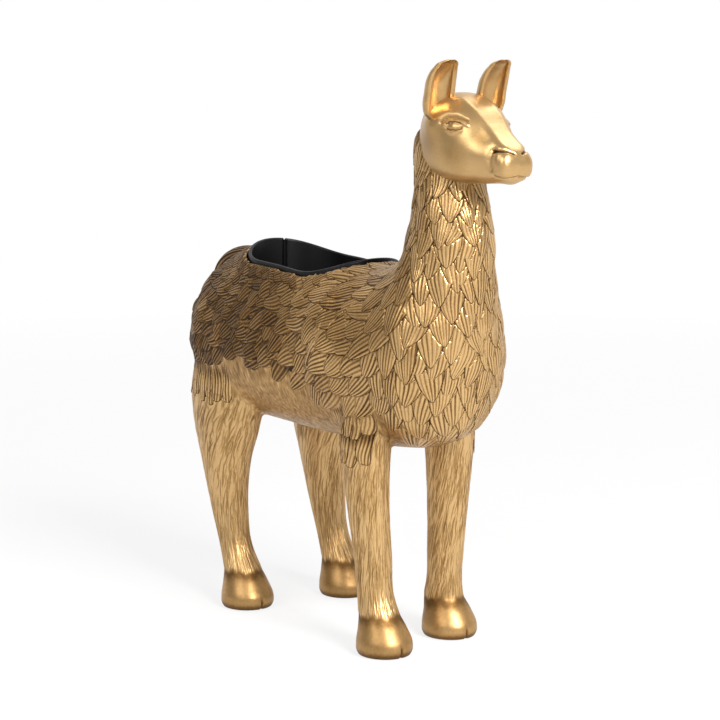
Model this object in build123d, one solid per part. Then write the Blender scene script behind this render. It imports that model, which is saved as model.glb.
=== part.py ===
from build123d import *
from math import degrees
import os

# Llama shaped planter: a cast animal whose open back holds a lift-out liner.
# Frame: X forward to the head, Y to the animal's left, Z up. Millimetres.
# The castings are laid out about the middle of the four hooves, on the ground,
# and moved at the end so that the origin is the bottom centre of the whole object.

# Stance: between hoof centres, then between the legs' places on the body
LEG_SPACING = 125.0
HIND_STANCE = 67.0
FORE_STANCE = 56.0
HIND_STEP = 14.0
FORE_STEP = -8.0
HIP_STEP = 14.0
SHOULDER_STEP = 8.0

# Torso casting
TORSO_LENGTH = 240.0
TORSO_WIDTH = 108.0
TORSO_DEPTH = 118.0
BELLY_HEIGHT = 114.0
RUMP_OVERHANG = 57.5
SHELL_WALL = 5.0

# Neck, cast with the torso
NECK_DEPTH = 45.0
NECK_WIDTH = 41.0
NECK_HEIGHT = 45.0
NECK_ADVANCE = 29.5
NECK_PEG_DIAMETER = 16.0
NECK_PEG_LENGTH = 14.0

# Wool: the main locks of the fleece, raised on the torso and neck
LOCK_LENGTH = 19.0
LOCK_WIDTH = 11.0
LOCK_RISE = 0.9
LOCK_PITCH = 20.0

# Head casting
HEAD_LENGTH = 76.0
HEAD_HEIGHT = 50.0
HEAD_WIDTH = 44.0
HEAD_SETBACK = 18.5
EYE_DIAMETER = 13.0
NOSTRIL_DIAMETER = 3.0
MOUTH_LENGTH = 18.0
MOUTH_GAPE = 1.0
MOUTH_DEPTH = 1.8

# Ears
EAR_HEIGHT = 34.0
EAR_WIDTH = 22.5
EAR_THICKNESS = 13.0
EAR_SPACING = 36.0
EAR_LEAN = 17.0
EAR_BOW = 3.0
EAR_TURN = 4.0
EAR_WALL = 2.2
EAR_PEG_DIAMETER = 6.0
EAR_PEG_LENGTH = 9.0

# Tail
TAIL_LENGTH = 62.0
TAIL_WIDTH = 24.0
TAIL_THICKNESS = 13.0
TAIL_PEG_DIAMETER = 5.0
TAIL_PEG_LENGTH = 13.0
TAIL_PEG_SLOPE = 0.35

# Legs and hooves
LEG_JOINT_HEIGHT = 102.0
LEG_PEG_DIAMETER = 12.0
LEG_PEG_HEIGHT = 14.0
FORE_LEG_DIAMETER = 23.0
HIND_LEG_DIAMETER = 23.0
FORE_LEG_SETBACK = 9.5
HIND_LEG_SETBACK = 23.0
HOOF_LENGTH = 34.0
HOOF_WIDTH = 33.0
HOOF_HEIGHT = 25.0
HOOF_TOE = 6.0
CLEFT_WIDTH = 2.4
CLEFT_DEPTH = 5.0

# Felt pads let into the soles
PAD_DIAMETER = 17.0
PAD_THICKNESS = 2.0
PAD_RECESS = 1.2

# Liner and the opening that it drops into
LINER_LENGTH = 112.0
LINER_WIDTH = 68.0
LINER_ADVANCE = 32.0
LINER_WALL = 2.0
LINER_FLOOR = 2.0
LINER_RISE = 3.0
LINER_SEAT_HEIGHT = 140.0
SEAM_WIDTH = 1.2
SEAM_DEPTH = 0.6
NOTCH_DEPTH = 3.0
SEAM_ANGLE = 14.0

# Gaps between bonded castings, and around the loose liner
GLUE_GAP = 0.15
LINER_GAP = 1.2

# Side view sections of the torso, rump to shoulder. Each row: back point and belly point,
# as shares of the torso's length from the rump and of its depth above the belly,
# then the half width as a share of half the torso's width and the widest point's place.
RUMP_SECTION_SHARES = [
    (0.000, 0.655, 0.004, 0.305, 0.43, 0.46),
    (0.007, 0.780, 0.021, 0.203, 0.74, 0.46),
]
BARREL_SECTION_SHARES = [
    (0.035, 0.885, 0.067, 0.118, 0.92, 0.46),
    (0.104, 0.966, 0.142, 0.060, 1.00, 0.46),
    (0.250, 1.000, 0.292, 0.040, 1.00, 0.47),
    (0.417, 0.975, 0.467, 0.030, 0.96, 0.54),
    (0.583, 0.950, 0.646, 0.020, 0.92, 0.60),
    (0.692, 0.950, 0.810, 0.060, 0.84, 0.54),
]
# Neck sections, chest to head. Rear point and front point, as shares of half the neck's
# depth about its axis and of its height above the back, then of half the neck's width.
NECK_SECTION_SHARES = [
    (-1.22, 0.09, 0.56, -2.08, 1.98),
    (-1.07, 0.35, 1.04, -1.11, 1.52),
    (-1.02, 0.62, 1.06, -0.22, 1.19),
    (-1.01, 1.07, 1.05, 0.42, 1.03),
    (-0.93, 1.72, 0.93, 1.08, 0.90),
]
NECK_WIDEST_SHARE = 0.46
# Angles of the sections' arcs: quarters for the skin, which carries the locks, halves for
# the rooms cut for other pieces.
SKIN_ARC = 90
ROOM_ARC = 180

# Rows of locks on the flank, as angles above the level of the barrel's axis, and the rings
# of locks round the chest, neck and rump, as heights in the torso's depth above the belly
# with the first and last angle round from the front or the rear.
BARREL_AXIS_SHARE = 0.5
FLANK_ROW_ANGLES = (-4, 16, 36)
FLANK_START_SHARE = 0.18
FLANK_END_SHARE = 0.68
CHEST_AXIS_SHARE = 0.78
CHEST_RING_SHARES = (0.20, 0.37, 0.54, 0.71, 0.88)
CHEST_TURN = 70
NECK_RING_SHARES = (0.24, 0.62)
NECK_TURN = 150
RUMP_AXIS_SHARE = 0.20
RUMP_RING_SHARES = (0.42, 0.60, 0.78)
RUMP_TURN = 70
TAIL_TURN = 24
# Outline of a lock from root to tip: place along it and half width
LOCK_SHARES = [(-0.5, 0.45), (0.05, 1.0), (0.5, 0.0)]
LOCK_TILT = 3
FLANK_SLOPE = 36
RUMP_SLOPE = 46
NECK_SLOPE = 86

# Head sections, nape to nose: crown point and jaw point as shares of the head's length
# from the nape and of its height above the jaw, then of half the head's width.
HEAD_SECTION_SHARES = [
    (0.000, 0.630, 0.000, 0.330, 0.36),
    (0.040, 0.810, 0.015, 0.155, 0.65),
    (0.180, 0.960, 0.130, 0.040, 0.88),
    (0.400, 1.000, 0.335, 0.000, 1.00),
    (0.590, 0.865, 0.525, 0.000, 0.93),
    (0.745, 0.660, 0.690, 0.020, 0.75),
    (0.860, 0.510, 0.820, 0.030, 0.61),
    (0.935, 0.410, 0.910, 0.045, 0.545),
    (0.980, 0.315, 0.975, 0.110, 0.36),
]
# The head's sides are upright between these shares of its height.
CHEEK_LOW_SHARE = 0.22
CHEEK_HIGH_SHARE = 0.56
EAR_PLACE_SHARE = 0.345
EAR_ROOT_SHARE = 0.66
EAR_PEG_SHARE = 0.26
EYE_PLACE_SHARE = 0.58
EYE_HEIGHT_SHARE = 0.67
EYE_SIDE_SHARE = 0.62
NOSTRIL_PLACE_SHARE = 0.91
NOSTRIL_HEIGHT_SHARE = 0.34
NOSTRIL_SIDE_SHARE = 0.36
MOUTH_SHARE = 0.17

# Ear sections, root to tip: place along the ear, half width and half thickness.
EAR_SHARES = [
    (0.00, 0.62, 0.85),
    (0.25, 0.96, 1.00),
    (0.50, 1.00, 0.95),
    (0.75, 0.76, 0.78),
    (0.92, 0.42, 0.50),
    (1.00, 0.15, 0.25),
]
CUP_SHARES = [
    (0.30, 0.60, 0.70),
    (0.50, 1.00, 1.00),
    (0.75, 0.74, 0.80),
    (0.88, 0.40, 0.50),
]
CUP_PUSH_SHARE = 0.5

# Tail sections, root to tip: distance behind the rump's end and drop below the back,
# as shares of the tail's length, then half width and half thickness.
TAIL_SHARES = [
    (-0.30, 0.16, 0.55, 0.65),
    (-0.07, 0.20, 0.85, 0.95),
    (0.14, 0.27, 1.00, 1.00),
    (0.28, 0.42, 1.00, 1.00),
    (0.33, 0.63, 0.80, 0.85),
    (0.28, 0.84, 0.50, 0.55),
    (0.22, 0.97, 0.18, 0.25),
]

# Leg sections from the ankle up: height as a share of the joint's height, place between
# the hoof (0) and the body (1), then half length and half width as shares of the radius.
FORE_LEG_SHARES = [
    (0.16, 0.00, 1.00, 0.96),
    (0.30, 0.15, 0.95, 0.92),
    (0.55, 0.45, 0.98, 0.92),
    (0.80, 0.80, 1.10, 1.00),
    (1.00, 1.00, 1.26, 1.08),
    (1.28, 1.05, 1.45, 1.15),
    (1.62, 1.10, 1.30, 0.90),
]
HIND_LEG_SHARES = [
    (0.16, 0.00, 1.00, 0.96),
    (0.32, 0.25, 0.94, 0.88),
    (0.62, 0.82, 1.13, 0.96),
    (0.90, 1.00, 1.64, 1.20),
    (1.12, 0.95, 2.40, 1.42),
    (1.38, 0.80, 2.80, 1.55),
    (1.68, 0.62, 2.40, 1.20),
]
# Hoof sections from the sole up: height, setback of the centre, half length, half width.
HOOF_SHARES = [
    (0.00, 0.00, 0.96, 0.96),
    (0.22, 0.00, 1.00, 1.00),
    (0.60, 0.35, 0.86, 0.86),
    (1.00, 1.00, 0.70, 0.68),
]

rump_x = -LEG_SPACING / 2 - RUMP_OVERHANG
back_z = BELLY_HEIGHT + TORSO_DEPTH
neck_x = LEG_SPACING / 2 + NECK_ADVANCE
jaw_z = back_z + NECK_HEIGHT
nape_x = neck_x - HEAD_SETBACK
sole_z = PAD_THICKNESS - PAD_RECESS
liner_x = rump_x + LINER_ADVANCE + LINER_LENGTH / 2


def egg_section(top, bottom, half_width, widest_share, arc_size):
    """Egg shaped face through two points of the side view, widest between them, drawn in equal arcs."""
    low = Vector(*bottom)
    rise = Vector(*top) - low
    middle = low + rise * widest_share
    plane = Plane(middle, x_dir=(0, 1, 0), z_dir=Vector(0, 1, 0).cross(rise.normalized()))
    arcs = []
    for start in range(0, 360, arc_size):
        depth = rise.length * (1 - widest_share if start < 180 else widest_share)
        arcs.append(EllipticalCenterArc((0, 0), half_width, depth, start, arc_size=arc_size))
    return plane * make_face(arcs)


def cheeked_section(top, bottom, half_width):
    """Face through two points of the side view, round above and below its upright cheeks."""
    low = Vector(*bottom)
    rise = Vector(*top) - low
    jaw = low + rise * CHEEK_LOW_SHARE
    plane = Plane(jaw, x_dir=(0, 1, 0), z_dir=Vector(0, 1, 0).cross(rise.normalized()))
    cheek = rise.length * (CHEEK_HIGH_SHARE - CHEEK_LOW_SHARE)
    brow_rise = rise.length * (1 - CHEEK_HIGH_SHARE)
    lower = EllipticalCenterArc((0, 0), half_width, rise.length * CHEEK_LOW_SHARE, 180, arc_size=180)
    upper = EllipticalCenterArc((0, cheek), half_width, brow_rise, 0, arc_size=180)
    sides = Line((half_width, 0), (half_width, cheek)) + Line((-half_width, cheek), (-half_width, 0))
    return plane * make_face(lower + upper + sides)


def torso_sections(rows, inset, arc_size):
    """Sections of the torso, drawn in by the inset all round."""
    sections = []
    for top_x, top_z, low_x, low_z, width, widest in rows:
        top = (rump_x + top_x * TORSO_LENGTH + inset, 0, BELLY_HEIGHT + top_z * TORSO_DEPTH - inset)
        low = (rump_x + low_x * TORSO_LENGTH + inset, 0, BELLY_HEIGHT + low_z * TORSO_DEPTH + inset)
        sections.append(egg_section(top, low, width * TORSO_WIDTH / 2 - inset, widest, arc_size))
    return sections


def neck_sections(shares, growth, arc_size):
    """Sections of the neck, grown by a gap all round."""
    sections = []
    for rear_x, rear_z, front_x, front_z, width in shares:
        rear = Vector(neck_x + rear_x * NECK_DEPTH / 2, 0, back_z + rear_z * NECK_HEIGHT)
        front = Vector(neck_x + front_x * NECK_DEPTH / 2, 0, back_z + front_z * NECK_HEIGHT)
        outward = (rear - front).normalized() * growth
        half_width = width * NECK_WIDTH / 2 + growth
        ends = (rear + outward, front - outward)
        sections.append(egg_section(*ends, half_width, NECK_WIDEST_SHARE, arc_size))
    return sections


def skull(inset):
    """Head from nape to nose, drawn in by the inset."""
    sections = []
    for top_x, top_z, low_x, low_z, width in HEAD_SECTION_SHARES:
        top = (nape_x + top_x * HEAD_LENGTH - inset, 0, jaw_z + top_z * HEAD_HEIGHT - inset)
        low = (nape_x + low_x * HEAD_LENGTH - inset, 0, jaw_z + low_z * HEAD_HEIGHT + inset)
        sections.append(cheeked_section(top, low, width * HEAD_WIDTH / 2 - inset))
    return loft(sections)


def leg(shares, diameter, hoof_place, body_place):
    """One leg from its ankle up into the body."""
    ankle = Vector(*hoof_place) - Vector(HOOF_TOE, 0, 0)
    sections = []
    for height, place, half_length, half_width in shares:
        middle = ankle + (Vector(*body_place) - ankle) * place
        level = Vector(0, 0, height * LEG_JOINT_HEIGHT)
        oval = Ellipse(half_length * diameter / 2, half_width * diameter / 2)
        sections.append(Location(middle + level) * oval)
    return loft(sections)


def hoof(hoof_place):
    sections = []
    for height, setback, half_length, half_width in HOOF_SHARES:
        middle = Vector(*hoof_place) - Vector(setback * HOOF_TOE, 0, 0)
        level = Vector(0, 0, sole_z + height * HOOF_HEIGHT)
        oval = Ellipse(half_length * HOOF_LENGTH / 2, half_width * HOOF_WIDTH / 2)
        sections.append(Location(middle + level) * oval)
    return loft(sections)


def post(diameter, foot, height):
    """Upright round post standing on the foot point."""
    return Location(foot) * Cylinder(diameter / 2, height, align=(Align.CENTER, Align.CENTER, Align.MIN))


def tilted_post(diameter, foot, way, length):
    """Round post of a given length from the foot point along a direction."""
    plane = Plane(foot, z_dir=way)
    return plane * Cylinder(diameter / 2, length, align=(Align.CENTER, Align.CENTER, Align.MIN))


def ear(side):
    """Cupped ear before trimming, with the peg at its root and the hole for that peg."""
    root_x = nape_x + EAR_PLACE_SHARE * HEAD_LENGTH
    root = Vector(root_x, side * EAR_SPACING / 2, jaw_z + EAR_ROOT_SHARE * HEAD_HEIGHT)
    way = Vector(EAR_LEAN, 0, EAR_HEIGHT)
    facing = Vector(1, 0, 0).rotate(Axis.Z, side * EAR_TURN)
    across = way.cross(facing).normalized()
    out = across.cross(way).normalized()

    def blade(shares, half_width, half_thickness, push):
        faces = []
        for place, width, thickness in shares:
            bow = EAR_BOW * place * (1 - place) * 4
            plane = Plane(root + way * place + out * (push - bow), x_dir=across, z_dir=way)
            faces.append(plane * Ellipse(width * half_width, thickness * half_thickness))
        return loft(faces)

    body = blade(EAR_SHARES, EAR_WIDTH / 2, EAR_THICKNESS / 2, 0)
    cup_push = EAR_THICKNESS * CUP_PUSH_SHARE
    cup = blade(CUP_SHARES, EAR_WIDTH / 2 - EAR_WALL, EAR_THICKNESS / 2, cup_push)
    start = root + way * EAR_PEG_SHARE
    peg = tilted_post(EAR_PEG_DIAMETER, start, -way, EAR_PEG_LENGTH)
    hole = tilted_post(EAR_PEG_DIAMETER + 2 * GLUE_GAP, start, -way, EAR_PEG_LENGTH + GLUE_GAP)
    return body - cup, peg, hole


def tail():
    """Tail before trimming, with the peg at its second section and the hole for that peg."""
    path = []
    for behind, drop, width, thickness in TAIL_SHARES:
        path.append(Vector(rump_x - behind * TAIL_LENGTH, 0, back_z - drop * TAIL_LENGTH))
    faces = []
    for index, (behind, drop, width, thickness) in enumerate(TAIL_SHARES):
        before = path[max(index - 1, 0)]
        after = path[min(index + 1, len(path) - 1)]
        plane = Plane(path[index], x_dir=(0, 1, 0), z_dir=after - before)
        faces.append(plane * Ellipse(width * TAIL_WIDTH / 2, thickness * TAIL_THICKNESS / 2))
    inward = Vector(TAIL_PEG_SLOPE, 0, -1)
    start = path[1]
    peg = tilted_post(TAIL_PEG_DIAMETER, start, inward, TAIL_PEG_LENGTH)
    hole = tilted_post(TAIL_PEG_DIAMETER + 2 * GLUE_GAP, start, inward, TAIL_PEG_LENGTH + GLUE_GAP)
    return loft(faces), peg, hole


def liner_plan(growth):
    """Plan of the liner's outside at its seat, grown by a gap or shrunk by a wall."""
    seat = Plane((liner_x, 0, LINER_SEAT_HEIGHT))
    return seat * SlotOverall(LINER_LENGTH + 2 * growth, LINER_WIDTH + 2 * growth)


def skin_spot(start, way):
    """Where a line from inside the body leaves its skin, and the skin's outward direction there."""
    ahead = [hit for hit in skin.find_intersection_points(Axis(start, way)) if (hit[0] - start).dot(way) > 0]
    spot, outward = ahead[-1]
    return spot, outward if outward.dot(way) > 0 else -outward


def lock(spot, outward, slope):
    """Leaf shaped prism let into the skin, lying down and back at a slope, with its tip raised."""
    flow = Vector(-1, 0, 0).rotate(Axis.Y, -slope)
    along = (flow - outward * flow.dot(outward)).normalized()
    top = Plane(spot + outward * LOCK_RISE, x_dir=along, z_dir=outward).rotated((0, -LOCK_TILT, 0))
    leaf = [(place * LOCK_LENGTH, width * LOCK_WIDTH / 2) for place, width in LOCK_SHARES]
    mirrored = [(along_x, -across_y) for along_x, across_y in reversed(leaf[:-1])]
    return extrude(top * make_face(Polyline(*leaf, *mirrored, close=True)), -SHELL_WALL)


def ring_locks(axis_x, height, facing, turns, odd, slope):
    """Locks at one height round the chest, neck or rump, a pitch apart, on both sides."""
    start = Vector(axis_x, 0, height)
    first, last = turns
    reach = (skin_spot(start, Vector(facing, 0, 0))[0] - start).length
    step = degrees(LOCK_PITCH / reach)
    turn = max(first, step / 2 if odd else 0)
    locks = []
    while turn <= last:
        spot, outward = skin_spot(start, Vector(facing, 0, 0).rotate(Axis.Z, facing * turn))
        for side in (1, -1) if turn > 0 else (1,):
            place = Vector(spot.X, side * spot.Y, spot.Z)
            locks.append(lock(place, Vector(outward.X, side * outward.Y, outward.Z), slope))
        reach = (spot - start).length
        turn += degrees(LOCK_PITCH / reach)
    return locks


def flank_locks(angle, odd):
    """Locks along one row of both flanks, a pitch apart."""
    axis_z = BELLY_HEIGHT + BARREL_AXIS_SHARE * TORSO_DEPTH
    station = rump_x + FLANK_START_SHARE * TORSO_LENGTH + (LOCK_PITCH / 2 if odd else 0)
    locks = []
    while station <= rump_x + FLANK_END_SHARE * TORSO_LENGTH:
        spot, outward = skin_spot(Vector(station, 0, axis_z), Vector(0, 1, 0).rotate(Axis.X, angle))
        for side in (1, -1):
            place = Vector(spot.X, side * spot.Y, spot.Z)
            locks.append(lock(place, Vector(outward.X, side * outward.Y, outward.Z), FLANK_SLOPE))
        station += LOCK_PITCH
    return locks


def largest(shape):
    return shape.solids().sort_by(SortBy.VOLUME)[-1]


# Outer skin of the torso and neck, before the legs, the cavity and the pegs
TORSO_SECTION_SHARES = RUMP_SECTION_SHARES + BARREL_SECTION_SHARES
skin_neck = neck_sections(NECK_SECTION_SHARES, 0, SKIN_ARC)
skin = loft(torso_sections(TORSO_SECTION_SHARES, 0, SKIN_ARC) + skin_neck)
parts = {}

# Main locks of the fleece, staggered in rows and rings, each raised by the same height
locks = []
for row, angle in enumerate(FLANK_ROW_ANGLES):
    locks += flank_locks(angle, row % 2)
chest_x = rump_x + CHEST_AXIS_SHARE * TORSO_LENGTH
for ring, share in enumerate(CHEST_RING_SHARES):
    locks += ring_locks(chest_x, BELLY_HEIGHT + share * TORSO_DEPTH, 1, (0, CHEST_TURN), ring % 2, NECK_SLOPE)
for ring, share in enumerate(NECK_RING_SHARES):
    locks += ring_locks(neck_x, back_z + share * NECK_HEIGHT, 1, (0, NECK_TURN), ring % 2, NECK_SLOPE)
rump_axis_x = rump_x + RUMP_AXIS_SHARE * TORSO_LENGTH
for ring, share in enumerate(RUMP_RING_SHARES):
    height = BELLY_HEIGHT + share * TORSO_DEPTH
    locks += ring_locks(rump_axis_x, height, -1, (TAIL_TURN, RUMP_TURN), ring % 2, RUMP_SLOPE)
torso = skin + locks

# Legs: the same loft gives the leg below the joint and the stub on the torso above it
joint_plane = Plane((0, 0, LEG_JOINT_HEIGHT))
fore_leg = (FORE_LEG_SHARES, FORE_LEG_DIAMETER, LEG_SPACING / 2, FORE_STANCE, FORE_STEP)
hind_leg = (HIND_LEG_SHARES, HIND_LEG_DIAMETER, -LEG_SPACING / 2, HIND_STANCE, HIND_STEP)
shoulder = (FORE_LEG_SETBACK, SHOULDER_STEP)
hip = (HIND_LEG_SETBACK, HIP_STEP)
pads = []
sockets = []
for end, limb_sizes, body_sizes in (("front", fore_leg, shoulder), ("rear", hind_leg, hip)):
    shares, diameter, middle_x, stance, step = limb_sizes
    setback, body_step = body_sizes
    for name, side in (("left", 1), ("right", -1)):
        hoof_place = Vector(middle_x + side * step / 2, side * stance / 2, 0)
        body_place = Vector(middle_x - setback + side * body_step / 2, side * stance / 2, 0)
        limb = leg(shares, diameter, hoof_place, body_place)
        torso += split(limb, joint_plane, keep=Keep.TOP)
        joint = body_place + Vector(0, 0, LEG_JOINT_HEIGHT)
        toe = hoof_place + Vector(HOOF_LENGTH / 2, 0, sole_z)
        cleft = Location(toe) * Box(2 * CLEFT_DEPTH, CLEFT_WIDTH, HOOF_HEIGHT)
        recess = post(PAD_DIAMETER + 2 * GLUE_GAP, hoof_place, PAD_THICKNESS)
        foot = split(limb, joint_plane, keep=Keep.BOTTOM) + hoof(hoof_place) - cleft - recess
        parts[f"{end}_{name}_leg"] = foot + post(LEG_PEG_DIAMETER, joint, LEG_PEG_HEIGHT)
        sockets.append(post(LEG_PEG_DIAMETER + 2 * GLUE_GAP, joint, LEG_PEG_HEIGHT + GLUE_GAP))
        pads.append(post(PAD_DIAMETER, hoof_place, PAD_THICKNESS))
parts["foot_pads"] = Compound(pads)

# Torso: hollow above the liner's seat and open along the back
hollow = loft(torso_sections(BARREL_SECTION_SHARES, SHELL_WALL, ROOM_ARC))
cavity = split(hollow, Plane((0, 0, LINER_SEAT_HEIGHT)), keep=Keep.TOP)
opening = extrude(liner_plan(LINER_GAP), TORSO_DEPTH)
tail_body, tail_peg, tail_hole = tail()
torso = torso - cavity - opening - tail_hole
for socket in sockets:
    torso -= socket
parts["tail"] = largest(tail_body - skin) + tail_peg

# Head: sleeved over the end of the neck, with a peg from the neck into it
neck_end = skin_neck[-1].face()
neck_way = neck_end.normal_at()
peg_foot = neck_end.center()
parts["torso_shell"] = torso + tilted_post(NECK_PEG_DIAMETER, peg_foot, neck_way, NECK_PEG_LENGTH)
neck_hole = tilted_post(NECK_PEG_DIAMETER + 2 * GLUE_GAP, peg_foot, neck_way, NECK_PEG_LENGTH + GLUE_GAP)
grown_neck = neck_sections(NECK_SECTION_SHARES, GLUE_GAP, ROOM_ARC)
grown_skin = loft(torso_sections(TORSO_SECTION_SHARES, -GLUE_GAP, ROOM_ARC) + grown_neck)
neck_room = grown_skin + extrude(grown_neck[-1], GLUE_GAP, dir=neck_way) + neck_hole
skull_solid = skull(0)
mouth_place = (nape_x + HEAD_LENGTH, 0, jaw_z + MOUTH_SHARE * HEAD_HEIGHT)
mouth = Location(mouth_place) * Box(2 * MOUTH_LENGTH, HEAD_WIDTH, MOUTH_GAPE) - skull(MOUTH_DEPTH)
head = skull_solid - neck_room - mouth
eye_x = nape_x + EYE_PLACE_SHARE * HEAD_LENGTH
eye_z = jaw_z + EYE_HEIGHT_SHARE * HEAD_HEIGHT
nostril_x = nape_x + NOSTRIL_PLACE_SHARE * HEAD_LENGTH
nostril_z = jaw_z + NOSTRIL_HEIGHT_SHARE * HEAD_HEIGHT
for name, side in (("left", 1), ("right", -1)):
    ear_body, ear_peg, ear_hole = ear(side)
    parts[f"{name}_ear"] = largest(ear_body - skull_solid) + ear_peg
    eye_y = side * EYE_SIDE_SHARE * HEAD_WIDTH / 2
    nostril_y = side * NOSTRIL_SIDE_SHARE * HEAD_WIDTH / 2
    head = head + Location((eye_x, eye_y, eye_z)) * Sphere(EYE_DIAMETER / 2) - ear_hole
    head -= tilted_post(NOSTRIL_DIAMETER, (nostril_x, nostril_y, nostril_z), (0, side, 0), HEAD_WIDTH)
parts["head"] = largest(head)

# Liner: a strip bent into a ring and joined at one seam, with a floor let into it
ring = extrude(liner_plan(0) - liner_plan(-LINER_WALL), TORSO_DEPTH)
wall = ring & Location((0, 0, LINER_RISE)) * skin
bend_x = liner_x - (LINER_LENGTH - LINER_WIDTH) / 2
seam_turn = Location((bend_x, 0, LINER_SEAT_HEIGHT), (0, 0, -SEAM_ANGLE))
seam_x = LINER_WALL - LINER_WIDTH / 2
rim_z = back_z + LINER_RISE - LINER_SEAT_HEIGHT
groove = Location((seam_x, 0, TORSO_DEPTH / 2)) * Box(2 * SEAM_DEPTH, SEAM_WIDTH, TORSO_DEPTH)
notch = Location((seam_x, 0, rim_z)) * Box(2 * LINER_WALL + SEAM_WIDTH, SEAM_WIDTH, 2 * NOTCH_DEPTH)
parts["liner_wall"] = wall - seam_turn * groove - seam_turn * notch
parts["liner_floor"] = extrude(liner_plan(-LINER_WALL - GLUE_GAP), LINER_FLOOR)

# Move everything so that the origin is the bottom centre of the whole object
box = Compound(list(parts.values())).bounding_box()
to_origin = Location((-box.center().X, -box.center().Y, -box.min.Z))
os.makedirs("parts", exist_ok=True)
for name, shape in parts.items():
    export_step(to_origin * shape, f"parts/{name}.step")
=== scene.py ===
import math

import bpy
import numpy as np
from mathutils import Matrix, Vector
from mathutils.bvhtree import BVHTree


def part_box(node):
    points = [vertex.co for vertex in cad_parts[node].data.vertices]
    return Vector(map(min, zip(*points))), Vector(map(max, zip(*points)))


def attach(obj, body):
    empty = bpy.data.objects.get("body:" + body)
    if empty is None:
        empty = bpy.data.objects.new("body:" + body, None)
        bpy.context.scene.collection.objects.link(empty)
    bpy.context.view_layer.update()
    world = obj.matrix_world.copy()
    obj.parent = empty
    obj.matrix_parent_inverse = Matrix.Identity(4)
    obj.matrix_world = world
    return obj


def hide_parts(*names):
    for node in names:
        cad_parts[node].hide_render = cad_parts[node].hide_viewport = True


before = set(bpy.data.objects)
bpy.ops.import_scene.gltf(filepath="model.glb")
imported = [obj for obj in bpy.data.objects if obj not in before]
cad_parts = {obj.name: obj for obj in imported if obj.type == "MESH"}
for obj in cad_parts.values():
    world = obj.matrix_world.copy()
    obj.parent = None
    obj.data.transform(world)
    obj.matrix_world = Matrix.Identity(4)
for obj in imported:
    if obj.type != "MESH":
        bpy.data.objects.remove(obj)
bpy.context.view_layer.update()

# Llama shaped planter: antique gold castings with carved wool, and a satin black liner.
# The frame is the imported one: X forward to the head, Y to the animal's left, Z up, metres.

MM = 0.001
rng = np.random.default_rng(7)

# Camera, from the photograph's horizon and the hooves' places on the ground
CAMERA_PLACE = (965.3 * MM, -723.9 * MM, 345.0 * MM)
CAMERA_PITCH = math.radians(8.531)
CAMERA_TURN = math.radians(53.0)
CAMERA_LENS = 100.0
CAMERA_SENSOR = 36.0

# Floor and lamps
FLOOR_SIZE = 30.0
FLOOR_WHITENESS = 0.80
WHITE_DISTANCE = 1.6
WALL_DISTANCE = 5.0
WORLD_LIGHT = 0.26
LAMP_DISTANCE = 1.3
LAMP_AIM_HEIGHT = 0.17
# Turn of each lamp round the object in degrees, then its height, size and power
LAMPS = {"key": (88, 1.0, 0.6, 40.0), "fill": (15, 1.1, 0.9, 10.5), "top": (191, 1.9, 0.7, 6.0)}

# Finishes: colours from the least dark wash and painted shade to the most, then the grain of the paint
GOLD_TONES = [
    (0.02, (0.62, 0.40, 0.18)),
    (0.22, (0.42, 0.25, 0.095)),
    (0.55, (0.165, 0.082, 0.022)),
    (1.0, (0.042, 0.021, 0.008)),
]
HEAD_TONES = [
    (0.02, (0.54, 0.345, 0.15)),
    (0.22, (0.37, 0.225, 0.085)),
    (0.55, (0.150, 0.078, 0.026)),
    (0.95, (0.025, 0.013, 0.006)),
]
LINER_TONES = [(0.3, (0.003, 0.003, 0.003)), (0.7, (0.006, 0.006, 0.006))]
FELT_TONES = [(0.3, (0.02, 0.018, 0.016)), (0.7, (0.06, 0.055, 0.05))]
EVEN_GRAIN = (1, 1, 1)
HAIR_GRAIN = (1, 1, 0.06)
LINER_GRAIN = (1, 1, 0.4)
GRAIN_DEPTH = 0.3 * MM
PATCH_SCALE = 34.0
PATCH_STRENGTH = 0.22
WASH_POWER = 1.8
WASH_ROUGHNESS = 0.60
GOLD_METALLIC = 0.80
STRAND_LINE_SHARE = 0.33
# Dark line round each lock's edge, dark wash with painted shade where the lock lies over the next: full up
# to the first distance and gone at the second, in millimetres
EDGE_LINE_FULL = 0.4
EDGE_LINE_END = 1.0

# Skin of the torso, left sharper next to the opening
SKIN_VOXEL = 1.7 * MM
SKIN_SMOOTHING = 28
RIM_SMOOTHING = 1
RIM_BAND = 6.0 * MM

# Rim of the opening, lifted to leave some of the liner showing; the last three count steps round it
RIM_SHOW = 2.4 * MM
RIM_LIFT_MOST = 6.0 * MM
RIM_LIFT_BAND = 14.0 * MM
RIM_FOOT_Z = 195.0 * MM
RIM_BLEND = 4
RIM_STRIDE = 4
RIM_EASE = 14

# Tail and ears
CASTING_VOXEL = 0.55 * MM
CASTING_SMOOTHING = 6
CASTING_WASH = {"left_ear": 0.28, "right_ear": 0.28, "tail": 0.62}
# Painted shade inside the lower part of each ear's cup
EAR_CUP_SHADE = 0.12
TAIL_STRANDS = 22

# Liner, as on the drawing
LINER_LENGTH = 112.0 * MM
LINER_WIDTH = 68.0 * MM
LINER_WALL = 2.2 * MM
LINER_GAP = 1.2 * MM
SEAM_WIDTH = 1.2 * MM
SEAM_DEPTH = 0.5 * MM
NOTCH_DEPTH = 1.4 * MM
NOTCH_WIDTH = 0.5 * MM
SEAM_ANGLE = math.radians(14.0)
LINER_CREASE = math.radians(50)
RING_STEPS = 480
RIM_STEPS = 10

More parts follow.
